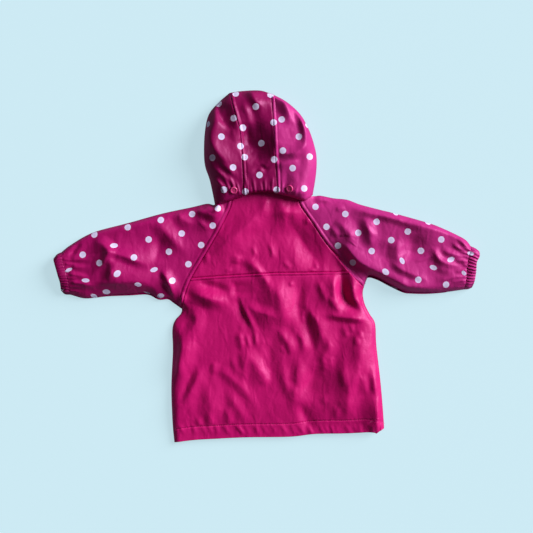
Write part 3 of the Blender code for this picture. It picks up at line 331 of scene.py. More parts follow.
hoodFolds = (
    # Left side.
    (
        ((-84, 264), (-82, 240), (-91, 214), (-88, 198), (-78, 184), (-64, 170), (-50, 152), (-42, 138)),
        9.0, 24, 12, 0.45,
    ),
    (((-80, 274), (-74, 246), (-64, 230), (-52, 222)), -7.0, 24, 6, 0.4, 2),
    (((-60, 286), (-50, 246), (-44, 222), (-40, 190)), 4.0, 6, 16, 0.4, 2),
    (((-90, 162), (-68, 146), (-50, 130)), 4.0, 9, 7, 0.5, 1.5),
    (((-93, 148), (-74, 134), (-58, 124)), 3.5, 8, 7, 0.5, 1.5),
    (((-80, 172), (-62, 158), (-46, 142)), 3.0, 7, 6, 0.5, 1.5),
    # Between the seams.
    (((-42, 280), (-32, 252), (-25, 226), (-22, 212)), 6.0, 9, 22, 0.5, 2),
    (((-28, 306), (-20, 274), (-9, 262), (4, 254)), 9.0, 20, 16, 0.5, 1.5),
    (((-10, 258), (-26, 234), (-30, 206), (-18, 186), (-8, 160)), -12.0, 32, 18, 0.55),
    (((8, 262), (10, 232), (12, 200), (14, 158)), 6.0, 6, 24, 0.6, 2),
    (((-36, 196), (-22, 188), (-12, 176)), 2.5, 8, 6, 0.5, 2),
    (((-22, 149), (-16, 159), (-8, 163), (0, 158), (10, 167)), -2.5, 4, 5, 0.5, 1),
    # Right side.
    (((-16, 318), (4, 298), (21, 280), (33, 262), (38, 244), (38, 226)), 14.0, 14, 14, 0.5, 1.5),
    (((24, 304), (40, 276), (53, 254), (61, 234), (65, 214), (62, 196), (50, 182)), 14.0, 14, 10, 0.45, 1.5),
    (((17, 250), (19, 215), (19, 180)), 8.0, 42, 8, 0.6, 2),
    (((4, 182), (24, 183), (44, 184), (60, 192), (76, 204)), 7.0, 16, 9, 0.5, 1.5),
    (((14, 160), (31, 171), (46, 180), (62, 188)), 3.0, 4, 7, 0.6, 1),
    (((14, 164), (36, 166), (58, 174)), 3.0, 10, 16, 0.4, 1.5),
    (((30, 122), (50, 121), (72, 120)), 6.0, 44, 8, 0.5),
)
# Where the hood is gathered at the nape: foot, top, height of the top, rise, width.
napeGathers = (
    (-64, -84, 146, 1.6, 4.0), (-55, -72, 150, 2.0, 3.6), (-48, -62, 152, 2.2, 3.4),
    (-43, -50, 141, 1.8, 2.6), (-34, -37, 138, 1.5, 2.2), (-29, -34, 153, 2.2, 3.0),
    (-24, -27, 139, 1.6, 2.4), (-17, -23, 149, 2.2, 3.2), (-11, -14, 137, 1.7, 2.4),
    (-6, -11, 141, 2.0, 2.8), (-1, -3, 149, 2.2, 3.0), (4, 4, 136, 1.5, 2.2), (9, 11, 152, 2.0, 3.0),
    (21, 22, 135, 1.6, 2.4), (25, 28, 142, 2.0, 2.8), (30, 31, 133, 1.3, 2.2), (34, 41, 141, 1.8, 3.0),
    (47, 52, 136, 1.2, 3.0), (62, 66, 133, 0.9, 3.4),
)
nape = {"foot": 114.0, "bend": 120.0, "peak": 0.4}  # the middle of a gather is two thirds up from the bend
# Puckers below the hem's stitching: x at the stitching, x at the edge, rise.
hemPuckers = (
    (-145, -133, 0.9), (-122, -115, 0.9), (-108, -98, 0.8), (-97, -88, 0.9), (-85, -78, 0.8),
    (-72, -60, 1.0), (-53, -35, 1.5), (-36, -28, 0.8), (-20, -12, 0.9), (-9, 3, 0.8), (7, 18, 0.9),
    (23, 35, 0.9), (38, 50, 0.8), (50, 65, 0.9), (66, 77, 1.5), (85, 98, 0.9), (93, 105, 0.8),
    (105, 112, 1.0), (114, 118, 0.8), (128, 140, 0.9), (141, 155, 0.9), (152, 157, 1.4), (172, 178, 1.0),
)
hemPucker = {"top": -258.0, "foot": -279.0, "width": 5, "peak": 0.55}
# Gathers that run on from the cuffs into the sleeves: place and height at the seam, length, drop, rise.
cuffGathers = (
    (-334, 12, 22, 3, 1.0), (-331, 4, 26, 1, 1.2), (-330, -8, 20, -1, 1.2), (-328, -19, 24, 1, 1.2),
    (-326, -33, 30, 2, 1.2), (-325, -40, 26, 3, 1.0), (336, 26, 16, -5, 1.2), (334, 20, 22, -5, 1.4),
    (332, 15, 12, -2, 1.0), (331, 8, 18, -3, 1.4), (331, 1, 10, -1, 1.0), (330, -6, 14, 0, 1.2),
    (330, -12, 9, 1, 1.0), (329, -17, 20, 2, 1.4), (328, -23, 12, 2, 1.2), (328, -28, 16, 2, 1.2),
    (327, -33, 22, 2, 1.2),
)
cuffGather = {"width": 2.6, "peak": 0.2}

# Middles of the printed dots.
dots = {
    "sleeves": (
        (-282, 52), (-227, 64), (-173, 76), (-122, 86), (-79, 95), (-301, 19), (-193, 44), (-139, 54),
        (-88, 67), (-273, 5.5), (-216, 14.5), (-160, 24), (-107, 35),
        (-128, 3.5), (-154, -23.5),
        (81, 98), (130, 86), (181, 73), (232, 57), (287, 44), (99, 65), (151, 55), (205, 43), (254, 25.5),
        (118, 34), (173, 25), (142, 6), (249, -22), (295, -30),
        (214, 89), (267, 73.5),
    ),
    "hood": (
        (-78, 267), (-97, 233), (-53, 241), (-73, 211), (-42, 196), (-88, 177), (-54, 161), (-69, 125),
        (-50, 283), (-17, 260), (7, 281), (-38, 226), (12, 234), (-8, 201), (-35, 178), (13, 174),
        (-11, 149), (-34, 122), (17, 125), (25, 239), (69, 232), (53, 211), (27, 188), (71, 179),
        (43, 160), (62, 127),
    ),
}
# Dots on folds and rims of the sleeves, seen from the side: middle, half length, half width, tilt in degrees.
flattenedDots = (
    (-324, -6, 6.4, 2.8, 24), (-296, -23, 6.6, 3.2, -3), (-333, 28, 4.0, 1.5, 35),
    (-336, -39, 2.0, 1.4, 0), (-249, 34, 6.2, 3.9, 0), (-184, -5.5, 6.2, 3.7, 18),
    (-243, -12, 6.3, 4.8, 45), (-284, -49, 5.3, 3.4, -25), (-174, -48.5, 5.9, 3.7, 10),
    (222.5, 9, 5.8, 3.7, -62), (274, -2, 6.2, 3.9, -22), (302.5, 11, 6.0, 4.2, 22),
    (-263, -42, 6.2, 4.1, 0), (-210, -30, 5.8, 3.4, -8), (-197, -43.5, 6.0, 1.0, -20),
    (211, -35, 6.5, 1.2, -22), (195.5, -9, 6.2, 4.7, -38), (335, 21, 5.4, 3.2, -12),
    (324, -11, 4.6, 3.0, -45),
)
dotRadius = 5.3
dotDrop = 7.0  # a dot at a rolled edge ends this far down the side, plus its own radius
noDot = 99.0


def dotLattice(start, step, rowStep):
    # The same print where it isn't seen from above: rows of dots, each row shifted from the last.
    return [
        (start[0] + i * step[0] + j * rowStep[0], start[1] + i * step[1] + j * rowStep[1])
        for j in range(-1, 6) for i in range(-4, 9)
    ]


def smooth(value, low, high):
    share = np.clip((value - low) / (high - low), 0.0, 1.0)
    return share * share * (3.0 - 2.0 * share)


def spline(points, pieces=6):
    # A smooth line through all the points.
    knots = np.array(points, float)
    chain = np.vstack((2 * knots[0] - knots[1], knots, 2 * knots[-1] - knots[-2]))
    t = np.linspace(0, 1, pieces, endpoint=False)[:, None]
    line = []
    for i in range(1, len(chain) - 2):
        p0, p1, p2, p3 = chain[i - 1:i + 3]
        square, cube = 2 * p0 - 5 * p1 + 4 * p2 - p3, 3 * p1 - p0 - 3 * p2 + p3
        line.append(0.5 * (2 * p1 + (p2 - p0) * t + square * t**2 + cube * t**3))
    return np.vstack(line + [knots[-1:]])


edges = {name: spline(points) for name, points in outline.items()}


def lengths(line):
    return np.concatenate(([0.0], np.cumsum(np.linalg.norm(np.diff(line, axis=0), axis=1))))


def atDistance(line, distance):
    steps = lengths(line)
    return np.stack([np.interp(distance, steps, line[:, axis]) for axis in (0, 1)], axis=-1)


def atShare(line, share):
    return atDistance(line, share * lengths(line)[-1])


def movedRight(line, distance):
    tangent = np.gradient(line, axis=0)
    tangent /= np.linalg.norm(tangent, axis=1)[:, None]
    return line + distance * np.stack((tangent[:, 1], -tangent[:, 0]), axis=-1)


def cutAt(line, level):
    # A falling line, cut in two where it crosses this y.
    crossing = np.array([[np.interp(-level, -line[:, 1], line[:, 0]), level]])
    return np.vstack((line[line[:, 1] > level], crossing)), np.vstack((crossing, line[line[:, 1] < level]))


def nearLine(points, line, reach):
    return np.all((points > line.min(axis=0) - reach) & (points < line.max(axis=0) + reach), axis=1)


def fromLine(points, line):
    # Distance, signed distance to the left, share of the line's length.
    start, step = line[:-1], np.diff(line, axis=0)
    size = np.einsum("ij,ij->i", step, step)
    offset = points[:, None, :] - start[None]
    share = np.clip(np.einsum("nij,ij->ni", offset, step) / size, 0, 1)
    away = offset - share[..., None] * step
    squared = np.einsum("nij,nij->ni", away, away)
    nearest = squared.argmin(axis=1)
    rows = np.arange(len(points))
    along = step[nearest] / np.sqrt(size[nearest])[:, None]
    vector = away[rows, nearest]
    side = along[:, 0] * vector[:, 1] - along[:, 1] * vector[:, 0]
    run = lengths(line)
    position = (run[nearest] + share[rows, nearest] * np.sqrt(size[nearest])) / run[-1]
    return np.sqrt(squared[rows, nearest]), side, position


def fromEdges(points, lines):
    return np.min([fromLine(points, line)[0] for line in lines], axis=0)


def foldHeights(points, folds, softness, spread=1.0):
    # A fold may give its own softness after its peak.
    total = np.zeros(len(points))
    for path, rise, left, right, peak, *own in folds:
        soft = own[0] if own else softness
        left, right = left * spread, right * spread
        line = spline(path, 4)
        near = nearLine(points, line, sqrt((max(left, right) + soft) ** 2 - soft**2) + 2)
        if not near.any():
            continue
        distance, side, position = fromLine(points[near], line)
        width = (left + right) / 2 + (left - right) / 2 * side / np.maximum(distance, 1e-6)
        apart = np.sqrt(distance**2 + soft**2) - soft
        before = smooth(position, 0, coat["creaseTaper"] * peak)
        after = smooth(1 - position, 0, coat["creaseTaper"] * (1 - peak))
        flank = np.clip(1 - apart / width, 0, 1)
        total[near] += rise * flank**2 * (1.5 - 0.5 * flank) * before * after
    return total


# Waves of the uneven cloth: how many are added up, how far each may turn in radians, and how they wind.
waves = {"count": 7, "turn": 0.6, "slowest": 0.7, "fastest": 1.5, "winding": 1.7, "windingRate": 0.6}


def ripples(points, size, stretch, lean, seed):
    # Uneven low waves in the cloth, longer across `lean` degrees than along it.
    turn = radians(lean)
    x, y = points.T
    u = (x * cos(turn) + y * sin(turn)) / size
    v = (y * cos(turn) - x * sin(turn)) / (size * stretch)
    rng = np.random.default_rng(seed)
    total = np.zeros(len(points))
    for _ in range(waves["count"]):
        angle = rng.uniform(-waves["turn"], waves["turn"])
        phase, bend = rng.uniform(0, 2 * pi), rng.uniform(0, 2 * pi)
        rate = rng.uniform(waves["slowest"], waves["fastest"])
        winding = waves["winding"] * np.sin(2 * pi * v * waves["windingRate"] + bend)
        total += np.sin(2 * pi * rate * (u * cos(angle) + v * sin(angle)) + phase + winding)
    return total / waves["count"]


rolledEdges = [
    edges[name]
    for name in (
        "leftCuffTop", "leftSleeveTop", "rightSleeveTop", "rightCuffTop", "rightCuffUnder",
        "rightSleeveUnder", "rightSide", "leftSide", "leftSleeveUnder", "leftCuffUnder",
    )
]
napeEdges = [edges[name] for name in ("napeLeft", "napeCentre", "napeRight")]
hoodOutline = [np.vstack([edges[name] for name in ("hoodEdgeLeft", "hoodTop", "hoodEdgeRight")])]
hemStitch = movedRight(edges["hem"], -coat["hemDepth"])

seamGap = -0.1  # pieces that are sewn together lap by this much, so that no light shows through
half = seamGap / 2
topstitchAway = {"raglan": 6.3, "yoke": 4.6, "hood": 5.6}  # from the seam
seamShape = {
    "width": 1.1,
    "puff": 0.9,  # the cloth swells between the seam and its topstitching
    "puffFullness": 0.7,
    "stitchDepth": 0.75,
    "stitchWidth": 0.8,
    "reach": 12.0,  # past which a seam changes nothing
}

# Seams pressed into the cloth: line, side of the topstitching (1 left, -1 right), its distance, depth.
garmentSeams = (
    (edges["leftRaglan"], -1, topstitchAway["raglan"], 1.1),
    (edges["rightRaglan"], 1, topstitchAway["raglan"], 1.3),
    (edges["yokeSeam"], -1, topstitchAway["yoke"], 1.2),
    (hemStitch, 1, 0.0, 0.9),
    (movedRight(edges["rightSide"], coat["sideSeam"]), 1, 0.0, 1.1),
)
hoodSeams = (
    (edges["hoodSeamLeft"], -1, topstitchAway["hood"], 0.8),
    (edges["hoodSeamRight"], -1, topstitchAway["hood"], 0.8),
)


def seamHeights(points, seams):
    total = np.zeros(len(points))
    for line, hand, away, depth in seams:
        near = nearLine(points, line, seamShape["reach"])
        if not near.any():
            continue
        distance, side, _ = fromLine(points[near], line)
        total[near] -= depth * np.exp(-((distance / seamShape["width"]) ** 2))
        if away:
            over = side * hand
            beside = np.abs(distance - np.abs(over)) < 1
            puff = seamShape["puff"] * np.sin(pi * np.clip(over / away, 0, 1)) ** seamShape["puffFullness"]
            drawnIn = seamShape["stitchDepth"] * np.exp(-(((over - away) / seamShape["stitchWidth"]) ** 2))
            total[near] += (puff - drawnIn) * beside
    return total


def rolledHeight(distance, loft, roll):
    # A quarter ellipse from the edge up to the full loft.
    return loft * np.sqrt(1 - (1 - np.clip(distance / roll, 0, 1)) ** 2)


def gathered(path, rise, shape, width=None):
    # A gather is a short fold, as wide on one hand as on the other.
    width = width or shape["width"]
    return path, rise, width, width, shape["peak"]


hemFolds = [
    gathered(((top, hemPucker["top"]), (low, hemPucker["foot"])), rise, hemPucker)
    for top, low, rise in hemPuckers
]
napeFolds = [
    gathered(
        ((low, nape["foot"]), ((low + 2 * top) / 3, (2 * height + nape["bend"]) / 3), (top, height)),
        rise, nape, width,
    )
    for low, top, height, rise, width in napeGathers
]
cuffFolds = [
    gathered(((x, y), (x - np.sign(x) * length, y - drop)), rise, cuffGather)
    for x, y, length, drop, rise in cuffGathers
]

# Fine gathers that the hem's stitching draws in; their pitch and height wander over these distances.
ruffle = {
    "rise": 0.28, "pitch": 3.3, "reach": 3.5, "wander": 2.5, "wanderOver": 11, "uneven": 0.4, "unevenOver": 7,
}


def hemRuffle(points):
    x = points[:, 0]
    away = np.abs(points[:, 1] - np.interp(x, hemStitch[:, 0], hemStitch[:, 1]))
    wave = np.sin(2 * pi * x / ruffle["pitch"] + ruffle["wander"] * np.sin(x / ruffle["wanderOver"]))
    strength = 1 - ruffle["uneven"] + ruffle["uneven"] * np.sin(x / ruffle["unevenOver"])
    return ruffle["rise"] * wave * strength * np.exp(-((away / ruffle["reach"]) ** 2))


def garmentSurface(points):
    # Height of the back and of the sleeves' upper halves.
    distance = fromEdges(points, rolledEdges)
    sleeve = smooth(np.abs(points[:, 0]), coat["sleeveStarts"], coat["sleeveFull"])
    loft = coat["bodyLoft"] + (coat["sleeveLoft"] - coat["bodyLoft"]) * sleeve
    roll = coat["bodyRoll"] + (coat["sleeveRoll"] - coat["bodyRoll"]) * sleeve
    body = sleeve < coat["bodyEnds"]
    fromHem = fromLine(points, edges["hem"])[0]
    lowHem = coat["hemShare"] + (1 - coat["hemShare"]) * smooth(fromHem, 0, coat["hemReach"])
    loft *= np.where(body, lowHem, 1.0)
    tight = 1 - smooth(fromHem, 0, coat["hemRollReach"])
    roll -= np.where(body, (coat["bodyRoll"] - coat["hemRoll"]) * tight, 0.0)
    x, y, reach, lost = coat["tightFold"]
    here = 1 - lost * np.exp(-(((points[:, 0] - x) ** 2 + (points[:, 1] - y) ** 2) / reach**2))
    roll *= here
    loft *= here
    for names, narrow in coat["narrowRolls"]:
        beyond = fromEdges(points, [edges[name] for name in names]) - distance
        roll += (narrow - roll) * sleeve * (1 - smooth(beyond, 0, coat["narrowReach"]))
    folds = foldHeights(points, bodyFolds + sleeveFolds, coat["creaseSoftness"], coat["creaseSpread"])
    folds *= smooth(distance, 0, coat["foldsFull"])
    gathers = foldHeights(points, hemFolds + cuffFolds, coat["gatherSoftness"])
    folds += gathers * smooth(distance, 0, coat["gathersFull"])
    for rise, full, *wave in coat["uneven"]:
        folds += rise * ripples(points, *wave) * smooth(distance, 0, full)
    folds += hemRuffle(points)
    folds += seamHeights(points, garmentSeams) * smooth(distance, 0, coat["seamsFull"])
    return coat["rest"] + rolledHeight(distance, loft, roll) + folds


def hoodSurface(points):
    distance = fromEdges(points, hoodOutline)
    loft = np.interp(points[:, 1], *zip(*hood["loft"]))
    full = rolledHeight(fromEdges(points, napeEdges), 1.0, hood["napeRoll"])
    loft = hood["napeLevel"] + (loft - hood["napeLevel"]) * full
    folds = foldHeights(points, hoodFolds, coat["creaseSoftness"], coat["creaseSpread"])
    folds += foldHeights(points, napeFolds, hood["gatherSoftness"])
    folds += sum(rise * ripples(points, *wave) for rise, *wave in hood["uneven"])
    folds *= smooth(distance, 0, hood["foldsFull"])
    folds += seamHeights(points, hoodSeams) * smooth(distance, 0, coat["seamsFull"])
    return hood["base"] + rolledHeight(distance, loft, hood["roll"]) + folds


def restingSurface(points):
    # The layer underneath: flat along its edges, with low folds that rise off the floor further in.
    folds = sum(rise * np.clip(ripples(points, *wave), 0, 1) for rise, *wave in resting["uneven"])
    return resting["top"] + folds * smooth(fromEdges(points, rolledEdges), *resting["foldsFull"])


def patch(bottom, top, left, right, across, up):
    # Fills in between four lines; the left and right ones are kept to exactly.
    a, b = across[:, None], up[:, None]
    rows = (1 - b) * atShare(bottom, across) + b * atShare(top, across)
    sides = (1 - a) * atShare(left, up) + a * atShare(right, up)
    corners = (1 - b) * ((1 - a) * bottom[0] + a * bottom[-1]) + b * ((1 - a) * top[0] + a * top[-1])
    return rows + sides - corners


closeRows = np.array((0.6, 1.4, 2.4, 3.6, 4.8, 6.0, 7.2))  # from a border, where seams and rolled edges lie


def stations(length, step, extra=()):
    # Shares of a length: even steps, closer along both borders.
    border = closeRows[closeRows < length / 4]
    count = max(2, round((length - 2 * border[-1]) / step) + 1)
    middle = np.linspace(border[-1], length - border[-1], count)
    places = np.concatenate(([0.0], border, middle, extra, length - border, [length]))
    return np.unique(np.round(places, 4)) / length


# How far the cloth of a panel runs, across and up, so that a step gives its grid even cells.
runs = {
    "backYoke": (258, 150),
    "backLower": (330, 272),
    "sleeve": (250, 130),
    "hoodSide": (184, 66),
    "hoodCentre": (58, 172),
    "frontLeft": (130, 370),
    "frontRight": (150, 370),
    "frontPlacket": (38, 350),
}


def gridOf(panel, step, extra=()):
    across, up = runs[panel]
    return stations(across, step), stations(up, step, extra)


def dotDistances(points, heights, middles):
    # How far each place is from the middle of the nearest printed dot.
    gap = points[:, None, :] - np.array(middles, float)[None]
    away = np.sqrt(np.einsum("nij,nij->ni", gap, gap))
    level = np.where(away < dotRadius, heights[:, None], -noDot).max(axis=0)
    down = np.maximum(level - heights[:, None] - dotDrop, 0.0)
    reach = np.hypot(away, down).min(axis=1)
    for x, y, halfLength, halfWidth, tilt in flattenedDots:
        across, up = points[:, 0] - x, points[:, 1] - y
        turn = radians(tilt)
        along, over = across * cos(turn) + up * sin(turn), up * cos(turn) - across * sin(turn)
        reach = np.minimum(reach, dotRadius * np.hypot(along / halfLength, over / halfWidth))
    return reach


def addPiece(name, shape, material):
    mesh = bpy.data.meshes.new(name)
    shape.to_mesh(mesh)
    shape.free()
    mesh.shade_smooth()
    mesh.materials.append(material)
    piece = bpy.data.objects.new(name, mesh)
    bpy.context.scene.collection.objects.link(piece)
    return piece


def shell(name, material, across, up, surface, dotMiddles=None, slot="plain_cloth", ring=False):
    # A thin cloth shell: a grid laid on the surface, given its thickness inwards by Solidify.
    cloth = bmesh.new()
    bmesh.ops.create_grid(cloth, x_segments=len(across) - 1, y_segments=len(up) - 1, size=0.5)
    flat = np.array([vert.co[:2] for vert in cloth.verts]) + 0.5
    a = np.interp(flat[:, 0], np.linspace(0, 1, len(across)), across)
    b = np.interp(flat[:, 1], np.linspace(0, 1, len(up)), up)
    points, plan = surface(a, b)
    reach = np.full(len(plan), noDot) if dotMiddles is None else dotDistances(plan, points[:, 2], dotMiddles)
    dotLayer = cloth.verts.layers.float.new("dotDistance")
    uv = cloth.loops.layers.uv.new("clothPlan")
    for vert, place, far in zip(cloth.verts, points * mm, reach):
        vert.co = place
        vert[dotLayer] = far
    cloth.verts.index_update()
    for face in cloth.faces:
        for loop in face.loops:
            loop[uv].uv = plan[loop.vert.index] * mm
    if ring:
        bmesh.ops.remove_doubles(cloth, verts=cloth.verts, dist=1e-6)
    cloth.normal_update()
    if max(cloth.faces, key=lambda face: face.calc_center_median().z).normal.z < 0:
        bmesh.ops.reverse_faces(cloth, faces=cloth.faces)
    piece = addPiece(name, cloth, material)
    wall = piece.modifiers.new("cloth thickness", "SOLIDIFY")
    wall.thickness = coat["clothThickness"] * mm
    wall.offset = -1.0
    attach(piece, "root")
    print("cloth", name, len(piece.data.polygons), "faces")
    return piece


def garmentPanel(name, material, sides, grid, heights, dotMiddles=None, slot="plain_cloth"):
    # A panel between its bottom, top, left and right lines.
    def surface(a, b):
        plan = patch(*sides, a, b)
        return np.column_stack((plan, heights(plan))), plan

    return shell(name, material, *grid, surface, dotMiddles, slot)


def addNode(tree, kind, settings=None, links=None):
    # One node with its settings; links maps an input to the socket that feeds it.
    node = tree.nodes.new(kind)
    for key, value in (settings or {}).items():
        if isinstance(key, str) and hasattr(node, key):
            setattr(node, key, value)
        else:
            node.inputs[key].default_value = value
    for key, socket in (links or {}).items():
        tree.links.new(socket, node.inputs[key])
    return node


def linear(hexColour):
    channels = [int(hexColour[i:i + 2], 16) / 255 for i in (0, 2, 4)]
    return tuple(c / 12.92 if c <= 0.04045 else ((c + 0.055) / 1.055) ** 2.4 for c in channels) + (1.0,)


def startMaterial(name):
    # A new material with no nodes but the place on the piece.
    material = bpy.data.materials.new(name)
    material.use_nodes = True
    tree = material.node_tree
    tree.nodes.clear()
    return material, tree, addNode(tree, "ShaderNodeTexCoord").outputs["Object"]


def finishMaterial(tree, settings, links):
    shader = addNode(tree, "ShaderNodeBsdfPrincipled", settings, links)
    addNode(tree, "ShaderNodeOutputMaterial", {}, {"Surface": shader.outputs["BSDF"]})


dotBlur = 0.35  # half the width of a dot's soft rim


def printDots(tree, clothColour, dotColour, relief):
    # Dots of thick print ink, a little paler along the rim.
    far = addNode(tree, "ShaderNodeAttribute", {"attribute_name": "dotDistance"}).outputs["Fac"]
    rim = {"From Min": dotRadius - dotBlur, "From Max": dotRadius + dotBlur, "To Min": 1.0, "To Max": 0.0}
    inDot = addNode(
        tree, "ShaderNodeMapRange", {"interpolation_type": "SMOOTHSTEP", **rim}, {"Value": far}
    ).outputs["Result"]
    thick = addNode(
        tree, "ShaderNodeMapRange", {"From Min": 1.5, "From Max": 4.5, "To Min": 0.88, "To Max": 1.0},
        {"Value": far},
    )
    ink = addNode(
        tree, "ShaderNodeMix", {"data_type": "RGBA", 6: (0.0, 0.0, 0.0, 1.0), 7: linear(dotColour)},
        {0: thick.outputs["Result"]},
    )
    printed = addNode(
        tree, "ShaderNodeMix", {"data_type": "RGBA"}, {0: inDot, 6: clothColour, 7: ink.outputs[2]}
    )
    # The ink bridges the grain and scatters the light: folds show less on the dots.
    normal = addNode(tree, "ShaderNodeNewGeometry").outputs["Normal"]
    flatter = addNode(
        tree, "ShaderNodeVectorMath", {"operation": "MULTIPLY", 1: (0.5, 0.5, 1.0)}, {0: normal}
    )
    even = addNode(tree, "ShaderNodeVectorMath", {"operation": "NORMALIZE"}, {0: flatter.outputs["Vector"]})
    inked = addNode(
        tree, "ShaderNodeMix", {"data_type": "VECTOR"}, {0: inDot, 4: relief, 5: even.outputs["Vector"]}
    )
    return printed.outputs[2], inked.outputs[1]


def coatedCloth(name, colour, deepColour, dotColour=None):
    # Knit with a polyurethane coat, cast on a fine-grained paper: satin, slightly uneven gloss.
    material, tree, place = startMaterial(name)
    # Clouds of 35 mm.
    cloud = addNode(tree, "ShaderNodeTexNoise", {"Scale": 28.0, "Detail": 3.0}, {"Vector": place})
    tint = addNode(
        tree, "ShaderNodeMix", {"data_type": "RGBA", 6: linear(deepColour), 7: linear(colour)},
        {0: cloud.outputs["Fac"]},
    )
    drawn = addNode(tree, "ShaderNodeMapping", {"Scale": (1.0, 0.5, 1.0)}, {"Vector": place})
    relief = None
    # A 1.1 mm grain, 7 mm crinkles, and soft rumples 14 mm apart that are longer from neck to hem.
    for pattern, coordinates, strength, depth in (
        ({"Scale": 900.0, "Detail": 2.0}, place, 0.25, 0.0002),
        ({"Scale": 150.0, "Detail": 2.0, "Distortion": 0.6}, place, 0.3, 0.001),
        ({"Scale": 70.0, "Detail": 1.0, "Distortion": 0.6}, drawn.outputs["Vector"], 0.5, 0.0025),
    ):
        noise = addNode(tree, "ShaderNodeTexNoise", pattern, {"Vector": coordinates})
        links = {"Height": noise.outputs["Fac"]}
        if relief is not None:
            links["Normal"] = relief
        bump = addNode(tree, "ShaderNodeBump", {"Strength": strength, "Distance": depth}, links)
        relief = bump.outputs["Normal"]
    clothColour = tint.outputs[2]
    if dotColour:
        clothColour, relief = printDots(tree, clothColour, dotColour, relief)
    gloss = addNode(
        tree, "ShaderNodeMapRange", {"From Min": 0.3, "From Max": 0.7, "To Min": 0.42, "To Max": 0.52},
        {"Value": cloud.outputs["Fac"]},
    )
    finishMaterial(
        tree, {"IOR": 1.5, "Specular IOR Level": 0.4, "Specular Tint": (1.0, 0.4, 0.8, 1.0)},
        {"Base Color": clothColour, "Roughness": gloss.outputs["Result"], "Normal": relief},
    )
    return material


def finePattern(name, deepColour, colour, pattern, strength, roughness):
    # One colour that varies a little, over a relief of the same fine pattern.
    material, tree, place = startMaterial(name)
    noise = addNode(tree, "ShaderNodeTexNoise", pattern, {"Vector": place}).outputs["Fac"]
    tint = addNode(
        tree, "ShaderNodeMix", {"data_type": "RGBA", 6: linear(deepColour), 7: linear(colour)}, {0: noise}
    )
    bump = addNode(tree, "ShaderNodeBump", {"Strength": strength, "Distance": 0.0001}, {"Height": noise})
    finishMaterial(
        tree, {"Roughness": roughness}, {"Base Color": tint.outputs[2], "Normal": bump.outputs["Normal"]}
    )
    return material


inkColour = "d4cbee"
plainCloth = coatedCloth("polyurethane-coated knit, magenta", "bc0c66", "ac085e")
dottedCloth = coatedCloth("polyurethane-coated knit, dotted", "a40c5e", "98085a", inkColour)
# A paler, hazier copy of the dotted cloth: painted sheen on the right sleeve, the right cuff and the hood's
# right side, which face the light.
dottedClothPaintedSheen = coatedCloth(
    "polyurethane-coated knit, dotted, painted sheen", "b42678", "a82272", inkColour
)
# A darker copy of the dotted cloth: painted shade on the left cuff and on the hood's left side and centre.
dottedClothPaintedShade = coatedCloth("polyurethane-coated knit, dotted, painted shade", "8a0650", "7e0248", inkColour)
# Moulded snap parts: smooth, fairly glossy, with a faint flow pattern of about 3 mm.
snapPlastic = finePattern(
    "moulded acetal, pink", "c42a72", "dc4a8c", {"Scale": 300.0, "Detail": 2.0}, 0.1, 0.28
)
# Thread: a soft sheen over a twist of 0.4 mm.
sewingThread = finePattern(
    "polyester sewing thread, magenta", "c01a70", "d83a8c", {"Scale": 2500.0, "Detail": 1.0}, 0.4, 0.5
)
print("materials made")


def makeBack():
    seam = edges["yokeSeam"]
    leftUpper, leftLower = cutAt(edges["leftRaglan"], seam[0, 1])
    rightUpper, rightLower = cutAt(edges["rightRaglan"], seam[-1, 1])
    left, right = movedRight(leftUpper, -half), movedRight(rightUpper, half)
    yoke = garmentPanel(
        "backYoke", plainCloth, (seam + (0, half), edges["neck"], left[::-1], right[::-1]),
        gridOf("backYoke", coat["cell"]), garmentSurface,
    )
    left = np.vstack((movedRight(leftLower, -half), edges["leftSide"][::-1][1:]))
    right = np.vstack((movedRight(rightLower, half), edges["rightSide"][1:]))
    hemRows = np.arange(*coat["hemRows"]) + coat["hemDepth"]
    lower = garmentPanel(
        "backLower", plainCloth, (edges["hem"], seam - (0, half), left[::-1], right[::-1]),
        gridOf("backLower", coat["cell"], hemRows), garmentSurface,
    )
    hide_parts("back_yoke")
    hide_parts("back_lower")


def sleevePanel(side, name, material, step, heights, dotMiddles):
    # Both halves of a sleeve are cut to the same four lines.
    under = edges[f"{side}SleeveUnder"][::-1]
    if side == "left":
        top = np.vstack((edges["leftSleeveTop"], edges["leftNeckEnd"][1:]))
        start, end = edges["leftCuffSeam"][::-1] + (half, 0), movedRight(edges["leftRaglan"], half)[::-1]
    else:
        top = np.vstack((edges["rightNeckEnd"], edges["rightSleeveTop"][1:]))
        start, end = movedRight(edges["rightRaglan"], -half)[::-1], edges["rightCuffSeam"][::-1] - (half, 0)
    lines = (under, top, start, end)
    return garmentPanel(name, material, lines, gridOf("sleeve", step), heights, dotMiddles, "dotted_cloth")


def makeSleeves():
    # The right sleeve's cloth is the copy with painted sheen.
    for side, material in (("left", dottedCloth), ("right", dottedClothPaintedSheen)):
        name = f"sleeveBack{side.capitalize()}"
        sleeve = sleevePanel(side, name, material, coat["cell"], garmentSurface, dots["sleeves"])
        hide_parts(f"sleeve_back_{side}")


def makeSleeveFronts():
    lattices = {
        "left": dotLattice((-330, -50), (54.5, 11.5), (24, 28)),
        "right": dotLattice((60, 110), (51, -15), (21, -31)),
    }
    for side, lattice in lattices.items():
        name = f"sleeveFront{side.capitalize()}"
        sleeve = sleevePanel(side, name, dottedCloth, resting["cell"], restingSurface, lattice)
        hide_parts(f"sleeve_front_{side}")


cuff = {
    "left": {"gathers": 15, "rise": 0.5, "seed": 1},
    "right": {"gathers": 14, "rise": 1.3, "seed": 2},
    "bulge": 1.4,
    "second": (0.35, 1.7),  # share and rate of the gathers in between
    "flatEnds": 0.08,  # share of the width over which the gathers rise at each end
    "topColumns": 131,
    "underColumns": 41,
    "rows": 15,
    "underStarts": 0.0001,  # share by which the under layer starts and stops inside the upper one's ends
}


